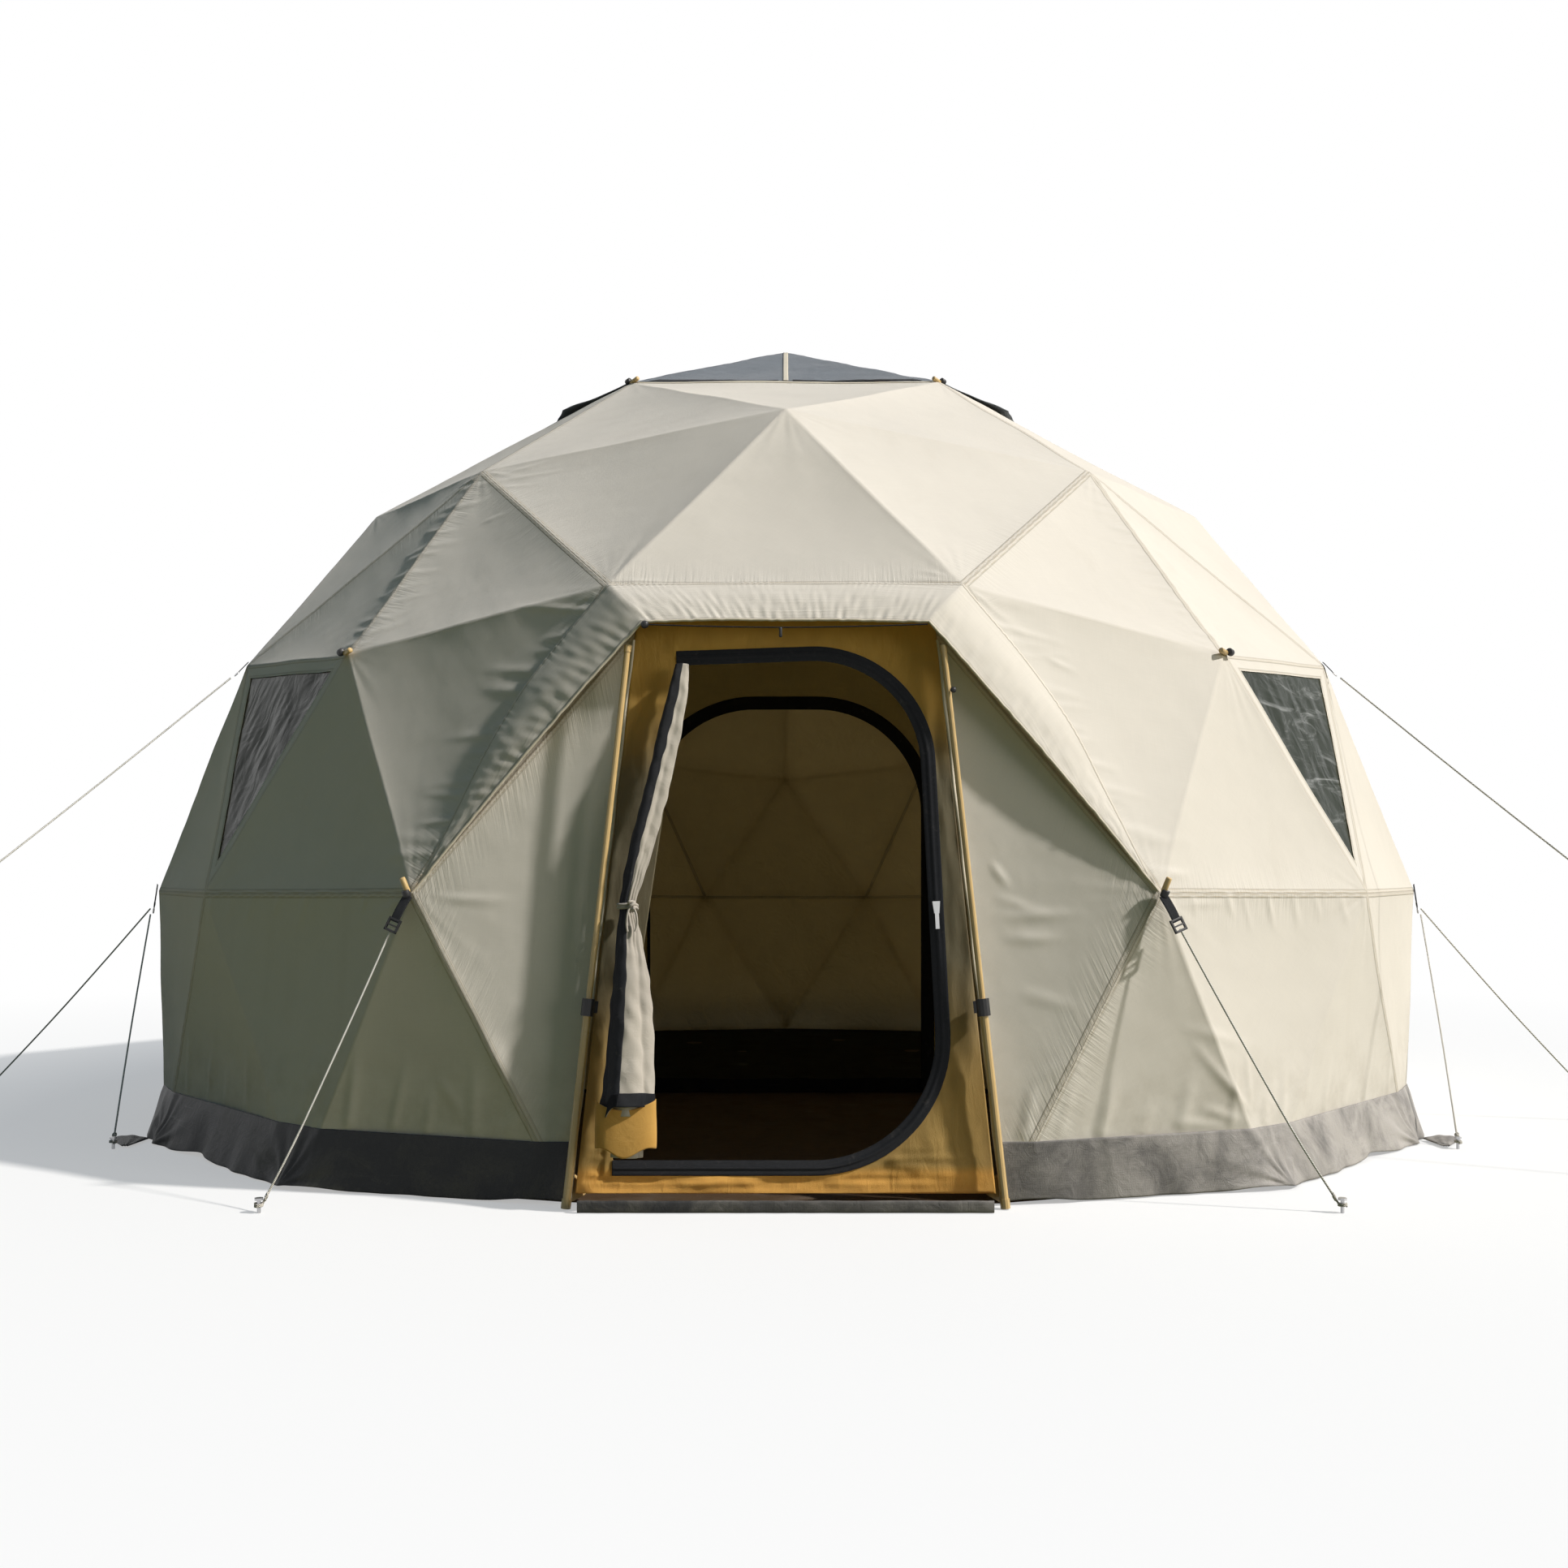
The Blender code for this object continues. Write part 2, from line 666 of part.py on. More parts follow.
def make_floors():
    outline = ground_outline(GROUNDSHEET_INSET)
    front = outline[0].y
    sill = HEM_Y + HEM_DEPTH + CLEARANCE
    half = HEM_LENGTH / 2
    outline += [Vector(point) for point in ((-half, front), (-half, sill), (half, sill), (half, front))]
    plate("groundsheet", outline, 0.0, CANVAS, BROWN)
    low = CANVAS + CLEARANCE
    floor = ground_outline(ROOM_FLOOR_INSET, ROOM_FLOOR_FRONT)
    room_floor = plate("inner_room_floor", floor, low, low + CANVAS, CHARCOAL)
    across = [point.x for point in floor if abs(point.y - ROOM_FLOOR_FRONT) < 1e-6]
    lip = box("room_floor_lip", (min(across), ROOM_FLOOR_FRONT, low),
              (max(across), ROOM_FLOOR_FRONT + CANVAS, low + ROOM_LIP_HEIGHT), None, CUTTERS)
    boolean(room_floor, lip, "UNION")


def box(name, low, high, finish, collection=TENT):
    shape = bmesh.new()
    bmesh.ops.create_cube(shape, size=1.0)
    size = Vector(high) - Vector(low)
    bmesh.ops.scale(shape, verts=shape.verts[:], vec=size)
    bmesh.ops.translate(shape, verts=shape.verts[:], vec=(Vector(low) + Vector(high)) / 2)
    return add(name, mesh_of(name, shape), finish, collection)


def boolean(obj, other, operation):
    """Joins, cuts or crosses an object with a helper, which isn't part of the tent."""
    other.hide_render = True
    other.display_type = "WIRE"
    step = obj.modifiers.new(operation.title(), "BOOLEAN")
    step.operation = operation
    step.object = other
    step.solver = "EXACT"
    return obj


# Frame

def rod(shape, start, end, radius, sides):
    """Adds a closed round rod from one point to another."""
    along = end - start
    turn = along.to_track_quat("Z", "Y").to_matrix().to_4x4()
    place = Matrix.Translation((start + end) / 2) @ turn
    bmesh.ops.create_cone(shape, cap_ends=True, segments=sides, radius1=radius, radius2=radius,
                          depth=along.length, matrix=place)


def frame_pairs():
    """Every pair of hubs with a strut between them. The doorway's middle and the ground have none."""
    pairs = set()
    for keys in all_triangles():
        for i in range(3):
            pair = (keys[i], keys[(i + 1) % 3])
            at_ground = all(key[0].startswith("ground") for key in pair)
            if ("waist_mid", 0) not in pair and not at_ground:
                pairs.add(tuple(sorted(pair)))
    return sorted(pairs)


def hub_place(key):
    return sunk(key, FRAME_INSET, ground_height=CANVAS + CLEARANCE + HUB_RADIUS)


def make_frame():
    """Round hubs, with the struts between them plugged in."""
    pairs = frame_pairs()
    hubs = {key for pair in pairs for key in pair}
    struts = bmesh.new()
    for pair in pairs:
        ends = [hub_place(key) for key in pair]
        socket = (ends[1] - ends[0]).normalized() * STRUT_SOCKET
        rod(struts, ends[0] + socket, ends[1] - socket, STRUT_RADIUS, STRUT_SIDES)
    discs = bmesh.new()
    for key in sorted(hubs):
        middle = hub_place(key)
        half = NORMALS[key] * HUB_THICKNESS / 2
        rod(discs, middle - half, middle + half, HUB_RADIUS, HUB_SIDES)
    frame = add("frame", mesh_of("frame", discs), TAN)
    helper = add("frame_struts", mesh_of("frame_struts", struts), None, CUTTERS)
    boolean(frame, helper, "UNION")


# Door wall, zip, slider and flap

def door_plane(out=0.0):
    """The door wall's own axes: x across, y up the wall and z out of its face."""
    lean = Matrix.Rotation(math.radians(90.0 - DOOR_WALL_LEAN), 4, "X")
    normal = lean.to_3x3() @ Vector((0.0, 0.0, 1.0))
    return Matrix.Translation(Vector((0.0, DOOR_WALL_FOOT_Y, 0.0)) + normal * out) @ lean


def arc(corner, before_it, after_it, radius):
    """Points round a corner, on an arc that meets both straight sides."""
    corner, first, second = Vector(corner), Vector(before_it), Vector(after_it)
    back = (first - corner).normalized()
    on = (second - corner).normalized()
    half = back.angle(on) / 2
    middle = corner + (back + on).normalized() * (radius / math.sin(half))
    start = corner + back * (radius / math.tan(half)) - middle
    end = corner + on * (radius / math.tan(half)) - middle
    sweep = start.angle_signed(end)
    points = []
    for i in range(ARC_STEPS + 1):
        turn = -sweep * i / ARC_STEPS
        spun = Vector((start.x * math.cos(turn) - start.y * math.sin(turn),
                       start.x * math.sin(turn) + start.y * math.cos(turn)))
        points.append(middle + spun)
    return points


def zip_line():
    """The zip's middle line: along the top, down the right and back along the threshold."""
    top = arc(ZIP_TOP_RIGHT, ZIP_TOP_LEFT, ZIP_BOTTOM_RIGHT, ZIP_TOP_RADIUS)
    bottom = arc(ZIP_BOTTOM_RIGHT, ZIP_TOP_RIGHT, ZIP_BOTTOM_LEFT, ZIP_BOTTOM_RADIUS)
    return [Vector(ZIP_TOP_LEFT)] + top + bottom + [Vector(ZIP_BOTTOM_LEFT)]


def beside(line, distance):
    """The line moved sideways, to its left for a positive distance."""
    moved = []
    for i, point in enumerate(line):
        first = (point - line[i - 1]) if i else (line[1] - point)
        second = (line[i + 1] - point) if i + 1 < len(line) else first
        along = (first.normalized() + second.normalized()).normalized()
        moved.append(point + Vector((-along.y, along.x)) * distance)
    return moved


def flat_piece(name, outlines, thickness, place, finish):
    """A flat plate of this outline, with holes where further outlines are given."""
    curve = bpy.data.curves.new(name, "CURVE")
    curve.dimensions = "2D"
    curve.fill_mode = "BOTH"
    curve.extrude = thickness / 2
    for outline in outlines:
        spline = curve.splines.new("POLY")
        spline.points.add(len(outline) - 1)
        for spot, point in zip(spline.points, outline):
            spot.co = (point[0], point[1], 0.0, 1.0)
        spline.use_cyclic_u = True
    made = add(name, curve, finish)
    made.matrix_world = place
    return made


def make_door_wall():
    rise = 1 / math.cos(math.radians(DOOR_WALL_LEAN))
    low, high = DOOR_WALL_BOTTOM * rise, DOOR_WALL_TOP * rise
    outer = [(-DOOR_WALL_HALF_BOTTOM, low), (DOOR_WALL_HALF_BOTTOM, low),
             (DOOR_WALL_HALF_TOP, high), (-DOOR_WALL_HALF_TOP, high)]
    hole = beside(zip_line(), -ZIP_WIDTH / 2)
    flat_piece("door_wall", [outer, hole], CANVAS, door_plane(-CANVAS / 2), MUSTARD)
    line = zip_line()
    line[0] = line[0] - (line[1] - line[0]).normalized() * ZIP_OVERRUN
    tape = beside(line, ZIP_WIDTH / 2) + beside(line, -ZIP_WIDTH / 2)[::-1]
    flat_piece("door_zip", [tape], ZIP_THICKNESS, door_plane(CLEARANCE + ZIP_THICKNESS / 2), BLACK)


def slider_middle():
    """Where the slider rides on the zip's straight right side, in the door wall's axes."""
    top, bottom = Vector(ZIP_TOP_RIGHT), Vector(ZIP_BOTTOM_RIGHT)
    share = (top.y - SLIDER_HEIGHT) / (top.y - bottom.y)
    return top.lerp(bottom, share), (top - bottom).normalized()


def make_slider():
    """The zip's slider, with its pull hanging down the front."""
    middle, along = slider_middle()
    out = CLEARANCE + ZIP_THICKNESS + CLEARANCE
    across = Vector((along.y, -along.x))
    half, deep = SLIDER_LENGTH / 2, SLIDER_DEPTH
    body = [middle + along * half - across * SLIDER_WIDTH / 2, middle - along * half - across * SLIDER_WIDTH / 3,
            middle - along * half + across * SLIDER_WIDTH / 3, middle + along * half + across * SLIDER_WIDTH / 2]
    slider = solid_outline("door_zip_slider", body, deep, door_plane(out), PULL)
    top = middle - along * half * 0.4
    low = top - along * PULL_LENGTH
    tab = [top - across * PULL_WIDTH / 2, low - across * PULL_WIDTH / 2,
           low + across * PULL_WIDTH / 2, top + across * PULL_WIDTH / 2]
    pull_out = out + deep - PULL_THICKNESS / 2
    pull = solid_outline("door_zip_pull", tab, PULL_THICKNESS, door_plane(pull_out), None, CUTTERS)
    boolean(slider, pull, "UNION")


def solid_outline(name, outline, thickness, place, finish, collection=TENT):
    """A flat plate as a mesh, so that it can be joined to others."""
    shape = bmesh.new()
    face = shape.faces.new([shape.verts.new((point[0], point[1], 0.0)) for point in outline])
    lifted = bmesh.ops.extrude_face_region(shape, geom=[face])
    verts = [item for item in lifted["geom"] if isinstance(item, bmesh.types.BMVert)]
    bmesh.ops.translate(shape, verts=verts, vec=(0.0, 0.0, thickness))
    bmesh.ops.recalc_face_normals(shape, faces=shape.faces[:])
    bmesh.ops.transform(shape, matrix=place, verts=shape.verts[:])
    return add(name, mesh_of(name, shape), finish, collection)


def make_flap():
    """The door flap gathered into folds along its sewn edge, pinched in where it is tied."""
    shape = bmesh.new()
    place = door_plane(CLEARANCE + ZIP_THICKNESS + FLAP_STAND_OFF)
    steps = FLAP_FOLDS * FLAP_STEPS_PER_FOLD
    rings = []
    top = FLAP_SECTIONS[0][0]
    for height, middle, half_width, half_depth, fold in FLAP_SECTIONS:
        twist = FLAP_TWIST * (top - height)
        ring = []
        for i in range(steps):
            turn = 2 * math.pi * i / steps
            swell = 1 + fold * math.cos(FLAP_FOLDS * turn + twist)
            x = middle + half_width * swell * math.cos(turn)
            out = half_depth * (1 + fold) + half_depth * swell * math.sin(turn)
            ring.append(shape.verts.new(place @ Vector((x, height, out))))
        rings.append(ring)
    for upper, lower in zip(rings, rings[1:]):
        for i in range(steps):
            j = (i + 1) % steps
            shape.faces.new((upper[i], upper[j], lower[j], lower[i]))
    shape.faces.new(rings[0])
    shape.faces.new(rings[-1][::-1])
    bmesh.ops.recalc_face_normals(shape, faces=shape.faces[:])
    mesh = mesh_of("door_flap", shape)
    mesh.shade_smooth()
    add("door_flap", mesh, GREY)


def make_tie():
    """The cord round the flap's waist."""
    waist = min(FLAP_SECTIONS, key=lambda section: abs(section[0] - TIE_HEIGHT))
    _, middle, half_width, half_depth, fold = waist
    reach = max(half_width, half_depth) * (1 + fold)
    ring_radius = reach + TIE_CORD_RADIUS + 2 * CLEARANCE
    bpy.ops.mesh.primitive_torus_add(major_segments=TIE_TURN_STEPS, minor_segments=TIE_CORD_SIDES, major_radius=ring_radius,
                                     minor_radius=TIE_CORD_RADIUS)
    tie = bpy.context.active_object
    tie.name = "door_flap_tie"
    tie.data.materials.append(BLACK)
    for old in list(tie.users_collection):
        old.objects.unlink(tie)
    TENT.objects.link(tie)
    out = CLEARANCE + ZIP_THICKNESS + FLAP_STAND_OFF + half_depth * (1 + fold)
    level = Matrix.Rotation(math.radians(-90.0), 4, "X")
    tie.matrix_world = door_plane(out) @ Matrix.Translation((middle, TIE_HEIGHT, 0.0)) @ level


# Porch poles

def turned(name, profile, place, finish, steps=POLE_STEPS):
    """A turned piece from a closed outline that runs down its outer side."""
    shape = bmesh.new()
    verts = [shape.verts.new((radius, 0.0, height)) for radius, height in profile]
    for first, second in zip(verts, verts[1:] + verts[:1]):
        if first.co.x > 0 or second.co.x > 0:
            shape.edges.new((first, second))
    made = add(name, mesh_of(name, shape), finish)
    made.matrix_world = place
    spin = made.modifiers.new("Turning", "SCREW")
    spin.steps = steps
    spin.render_steps = steps
    spin.use_merge_vertices = True
    spin.merge_threshold = 0.00005
    return made


def pole_axis(side):
    """The foot and direction of a porch pole, and the frame that stands on it."""
    foot = Vector((side * POLE_FOOT[0], POLE_FOOT[1], 0.0))
    top = Vector((side * POLE_TOP[0], POLE_TOP[1], POLE_TOP[2]))
    along = (top - foot).normalized()
    foot.z = POLE_FOOT_RADIUS * math.sqrt(1 - along.z ** 2) + CLEARANCE / 4
    turn = along.to_track_quat("Z", "Y").to_matrix().to_4x4()
    return foot, along, (top - foot).length, Matrix.Translation(foot) @ turn


def make_porch_pole(place_name, side):
    _, _, length, place = pole_axis(side)
    bore = POLE_UPPER_RADIUS + POLE_RUNNING_GAP
    lower = [(0.0, POLE_FOOT_LENGTH), (bore, POLE_FOOT_LENGTH), (bore, POLE_LOWER_LENGTH),
             (POLE_LOWER_RADIUS, POLE_LOWER_LENGTH), (POLE_LOWER_RADIUS, POLE_FOOT_LENGTH),
             (POLE_FOOT_RADIUS, POLE_FOOT_LENGTH), (POLE_FOOT_RADIUS, 0.0), (0.0, 0.0)]
    turned(f"porch_pole_{place_name}_lower", lower, place, TAN)
    start = POLE_LOWER_LENGTH - POLE_OVERLAP
    inside = POLE_UPPER_RADIUS - POLE_WALL
    shoulder = length - POLE_END_LENGTH
    upper = [(0.0, shoulder), (inside, shoulder), (inside, start), (POLE_UPPER_RADIUS, start),
             (POLE_UPPER_RADIUS, shoulder), (POLE_END_RADIUS, shoulder), (POLE_END_RADIUS, length),
             (0.0, length)]
    turned(f"porch_pole_{place_name}_upper", upper[::-1], place, TAN)
    low = POLE_LOWER_LENGTH - COLLAR_LENGTH
    inner = POLE_LOWER_RADIUS + CLEARANCE
    outer = inner + COLLAR_WALL
    ring = [(inner, low), (inner, POLE_LOWER_LENGTH), (outer, POLE_LOWER_LENGTH), (outer, low)]
    lock = turned(f"porch_pole_{place_name}_lock", ring, place, PLASTIC)
    lever = box("pole_lock_lever", (-COLLAR_LEVER / 2, -outer - COLLAR_LEVER, low + 0.2 * COLLAR_LENGTH),
                (COLLAR_LEVER / 2, -inner - COLLAR_WALL / 2, low + 0.9 * COLLAR_LENGTH), None, CUTTERS)
    lever.matrix_world = place
    boolean(lock, lever, "UNION")


# Inner room

def make_room_wall():
    """The hanging wall across the dome, cut to the liner's section, with an arched doorway. It is two
    halves, sewn together above the doorway's middle."""
    depth = LINER_INSET + LINER + ROOM_EDGE_GAP
    points = {key: sunk(key, depth, ground_height=ROOM_WALL_BOTTOM) for key in NORMALS}
    shape, _ = surface(all_triangles(), points)
    bmesh.ops.holes_fill(shape, edges=[edge for edge in shape.edges if edge.is_boundary])
    bmesh.ops.recalc_face_normals(shape, faces=shape.faces[:])
    inside = add("room_section", mesh_of("room_section", shape), None, CUTTERS)
    half, top, radius = ROOM_DOOR_HALF_WIDTH, ROOM_DOOR_TOP, ROOM_DOOR_RADIUS
    left_foot, right_foot = (-half, -ROOM_WALL_BOTTOM), (half, -ROOM_WALL_BOTTOM)
    left_top, right_top = (-half, top), (half, top)
    arch = [left_foot] + arc(left_top, left_foot, right_top, radius)
    arch += arc(right_top, left_top, right_foot, radius) + [right_foot]
    stand = Matrix.Translation((0.0, ROOM_WALL_Y + ROOM_CUT_BEHIND, 0.0))
    stand @= Matrix.Rotation(math.radians(90.0), 4, "X")
    cutter = solid_outline("room_doorway", arch, ROOM_CUT_DEPTH, stand, None, CUTTERS)
    for place_name, side in SIDES.items():
        edges = sorted((side * CLEARANCE, side * WAIST_MID_RADIUS))
        wall = box("inner_room_wall_" + place_name, (edges[0], ROOM_WALL_Y - ROOM_WALL_THICKNESS, 0.0),
                   (edges[1], ROOM_WALL_Y, CROWN_HEIGHT), LINING)
        boolean(wall, inside, "INTERSECT")
        boolean(wall, cutter, "DIFFERENCE")


def make_room_roll():
    """The inner room's door, rolled up and tied beside its doorway."""
    x = -ROOM_DOOR_HALF_WIDTH - ROLL_RADIUS - CLEARANCE
    y = ROOM_WALL_Y - ROOM_WALL_THICKNESS - ROLL_RADIUS - CLEARANCE
    shape = bmesh.new()
    rod(shape, Vector((x, y, ROLL_BOTTOM)), Vector((x, y, ROLL_TOP)), ROLL_RADIUS, ROLL_SIDES)
    mesh = mesh_of("inner_room_door_roll", shape)
    add("inner_room_door_roll", mesh, LINING)


# Guy lines, straps and pegs

def smooth_route(points, count):
    """Points along one smooth curve through the route's own points."""
    route = [Vector(point) for point in points]
    padded = [2 * route[0] - route[1]] + route + [2 * route[-1] - route[-2]]
    spans = len(route) - 1
    found = []
    for i in range(count):
        along = i * spans / (count - 1)
        span = min(int(along), spans - 1)
        t = along - span
        a, b, c, d = padded[span:span + 4]
        found.append(0.5 * (2 * b + (c - a) * t + (2 * a - 5 * b + 4 * c - d) * t ** 2
                            + (3 * b - a - 3 * c + d) * t ** 3))
    return found


def shifted(points, shift):
    """A route whose far end is moved sideways, and the rest of it in proportion."""
    last = len(points) - 1
    return [(x + shift * i / last, y, z) for i, (x, y, z) in enumerate(points)]


def make_line(name, points, side):
    curve = bpy.data.curves.new(name, "CURVE")
    curve.dimensions = "3D"
    curve.bevel_depth = LINE_DIAMETER / 2
    curve.bevel_resolution = 2
    curve.use_fill_caps = True
    spline = curve.splines.new("POLY")
    route = smooth_route(points, LINE_POINTS)
    spline.points.add(len(route) - 1)
    for spot, point in zip(spline.points, route):
        spot.co = (side * point.x, point.y, point.z, 1.0)
    add(name, curve, ROPE)


def make_peg(name, place, side):
    """The part of a driven peg that stands above the ground, with its head."""
    neck = PEG_HEIGHT - PEG_HEAD_THICKNESS
    profile = [(0.0, PEG_HEIGHT), (PEG_HEAD_RADIUS, PEG_HEIGHT), (PEG_HEAD_RADIUS, neck),
               (PEG_RADIUS, neck), (PEG_RADIUS, 0.0), (0.0, 0.0)]
    turned(name, profile, Matrix.Translation((side * place[0], place[1], 0.0)), STEEL, steps=8)


def make_strap(name, side):
    """The webbing strap from the waist hub, with its buckle."""
    start, end = Vector(FRONT_STRAP_START), Vector(FRONT_STRAP_END)
    start.x *= side
    end.x *= side
    along = (end - start).normalized()
    across = Vector((start.x, start.y, 0.0)).cross(along).normalized()
    out = along.cross(across)
    length = (end - start).length
    strap, buckle = STRAP_WIDTH / 2, BUCKLE_WIDTH / 2
    shoulder = length - BUCKLE_LENGTH
    outline = [(0.0, -strap), (shoulder, -strap), (shoulder, -buckle), (length, -buckle),
               (length, buckle), (shoulder, buckle), (shoulder, strap), (0.0, strap)]
    place = Matrix.Translation(start) @ Matrix((along, across, out)).transposed().to_4x4()
    solid_outline(name, outline, STRAP_THICKNESS, place, BLACK)


def make_guys():
    for place_name, side in SIDES.items():
        make_strap(f"guy_strap_{place_name}", side)
        for key, points in LINE_ROUTES.items():
            shift = side * FRONT_PEG_SHIFT if key == "front" else 0.0
            make_line(f"guy_line_{key}_{place_name}", shifted(points, shift), side)
            x, y = PEG_PLACES[key]
            make_peg(f"peg_{key}_{place_name}", (x + shift, y), side)


def make_tent():
    make_canopy()
    make_awning()
    make_liner()
    make_floors()
    make_frame()
    make_door_wall()
    make_slider()
    make_flap()
    make_tie()
    make_room_wall()
    make_room_roll()
    box("front_hem", (-HEM_LENGTH / 2, HEM_Y, 0.0), (HEM_LENGTH / 2, HEM_Y + HEM_DEPTH, HEM_HEIGHT), CHARCOAL)
    for place_name, side in SIDES.items():
        make_window("window_" + place_name, side)
        make_porch_wall("porch_wall_" + place_name, side)
        make_skirt("skirt_" + place_name, side)
        make_porch_pole(place_name, side)
    make_guys()


make_tent()
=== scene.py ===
"""The geodesic tent as it looks in the photograph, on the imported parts."""

import math

import bmesh
import bpy
import numpy as np
from mathutils import Matrix, Vector, geometry
from mathutils.bvhtree import BVHTree

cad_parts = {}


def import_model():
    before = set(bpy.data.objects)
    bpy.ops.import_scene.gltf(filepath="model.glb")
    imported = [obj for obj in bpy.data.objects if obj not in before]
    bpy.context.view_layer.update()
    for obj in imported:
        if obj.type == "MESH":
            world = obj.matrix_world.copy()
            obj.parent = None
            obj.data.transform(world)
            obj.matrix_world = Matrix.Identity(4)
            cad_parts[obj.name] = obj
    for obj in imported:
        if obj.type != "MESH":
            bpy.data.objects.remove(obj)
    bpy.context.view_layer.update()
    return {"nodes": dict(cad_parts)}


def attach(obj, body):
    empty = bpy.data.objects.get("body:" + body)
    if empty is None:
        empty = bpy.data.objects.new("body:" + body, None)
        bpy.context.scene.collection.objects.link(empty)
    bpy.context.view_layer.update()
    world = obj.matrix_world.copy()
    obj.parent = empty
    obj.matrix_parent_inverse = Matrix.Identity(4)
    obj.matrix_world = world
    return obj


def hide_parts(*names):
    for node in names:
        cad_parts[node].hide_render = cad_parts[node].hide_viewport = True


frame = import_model()

# Objects and node trees

def add_object(name, data):
    made = bpy.data.objects.new(name, data)
    bpy.context.scene.collection.objects.link(made)
    return made


def shape_object(name, shape):
    """An object from a finished bmesh."""
    mesh = bpy.data.meshes.new(name)
    shape.to_mesh(mesh)
    shape.free()
    return add_object(name, mesh)


class Nodes:
    """A node tree being made, with short ways to add and join its nodes."""

    def __init__(self, owner, empty=True):
        owner.use_nodes = True
        self.tree = owner.node_tree
        if empty:
            self.tree.nodes.clear()

    def put(self, socket, value):
        if isinstance(value, bpy.types.NodeSocket):
            self.tree.links.new(value, socket)
        elif isinstance(value, tuple) and len(value) == 3 and len(socket.default_value) == 4:
            socket.default_value = (*value, 1.0)
        else:
            socket.default_value = value

    def node(self, kind, inputs=(), **settings):
        made = self.tree.nodes.new("ShaderNode" + kind)
        for key, value in settings.items():
            setattr(made, key, value)
        for key, value in dict(inputs).items():
            self.put(made.inputs[key], value)
        return made

    def math(self, operation, first, second=0.0):
        return self.node("Math", {0: first, 1: second}, operation=operation).outputs[0]

    def mix(self, share, first, second, blend="MIX"):
        made = self.node("Mix", {0: share, 6: first, 7: second}, data_type="RGBA", blend_type=blend)
        return made.outputs[2]

    def both(self, share, first, second):
        """Two shaders in one."""
        inputs = {0: share, 1: first.outputs[0], 2: second.outputs[0]}
        return self.node("MixShader", inputs).outputs[0]

    def seen_directly(self):
        """One for rays from the camera, and for those that metal, glass or film sends on."""
        path = self.node("LightPath").outputs
        first = self.math("MAXIMUM", path["Is Camera Ray"], path["Is Glossy Ray"])
        return self.math("MAXIMUM", first, path["Is Transmission Ray"])


# Camera, fitted to the photograph's 1932 pixels

EYE = Vector((0.0, -5.117, 0.711))
PIXELS = 1932.0
FOCAL_PIXELS = 1652.0
PIXEL_MIDDLE = (968.0, 1106.0)
SENSOR = 36.0


def make_camera():
    lens = bpy.data.cameras.new("camera")
    lens.sensor_width = SENSOR
    lens.lens = SENSOR * FOCAL_PIXELS / PIXELS
    lens.shift_x = (PIXELS / 2 - PIXEL_MIDDLE[0]) / PIXELS
    lens.shift_y = (PIXEL_MIDDLE[1] - PIXELS / 2) / PIXELS
    lens.clip_start, lens.clip_end = 0.05, 200.0
    camera = add_object("camera", lens)
    camera.location = EYE
    camera.rotation_euler = (math.radians(90.0), 0.0, 0.0)
    bpy.context.scene.camera = camera


make_camera()

bpy.context.scene.view_settings.view_transform = "Standard"

# Light: a low sun from the right and a soft sky, on a pale floor that fades to white

SUN_FROM = Vector((0.72, -0.172, 0.67))
SUN_STRENGTH = 4.3
SUN_SIZE = 2.5
SUN_COLOUR = (1.0, 0.96, 0.91)
SIDE_FROM = Vector((0.88, -0.42, 0.15))
SIDE_STRENGTH = 0.95
SIDE_SIZE = 24.0
SIDE_COLOUR = (1.0, 0.95, 0.86)
ZENITH = (0.080, 0.138, 0.205)
HORIZON = (0.046, 0.060, 0.034)
SKY_FADE = (0.05, 0.75)
WHITE = (1.0, 1.0, 1.0)
FLOOR_RADIUS = 40.0
FLOOR_DROP = 0.0005
FLOOR_FADE = (2.6, 7.0)
FLOOR_FADED_AT_TENT = 0.42
FLOOR_COLOUR = (0.86, 0.86, 0.86)
FLOOR_BOUNCE = (0.150, 0.160, 0.070)


def make_sun(name, way, strength, size, colour):
    lamp = bpy.data.lights.new(name, "SUN")
    lamp.energy = strength
    lamp.angle = math.radians(size)
    lamp.color = colour
    add_object(name, lamp).rotation_euler = way.to_track_quat("Z", "Y").to_euler()


def make_sky():
    """A soft sky for the light; the camera sees plain white."""
    world = bpy.data.worlds.new("sky")
    bpy.context.scene.world = world
    sky = Nodes(world)
    way = sky.node("TexCoord").outputs["Generated"]
    height = sky.node("SeparateXYZ", {0: way}).outputs["Z"]
    rise = sky.node("MapRange", {"Value": height, "From Min": SKY_FADE[0], "From Max": SKY_FADE[1]})
    soft = sky.node("Background", {"Color": sky.mix(rise.outputs["Result"], HORIZON, ZENITH)})
    white = sky.node("Background", {"Color": WHITE, "Strength": 1.0})
    sky.node("OutputWorld", {"Surface": sky.both(sky.seen_directly(), soft, white)})


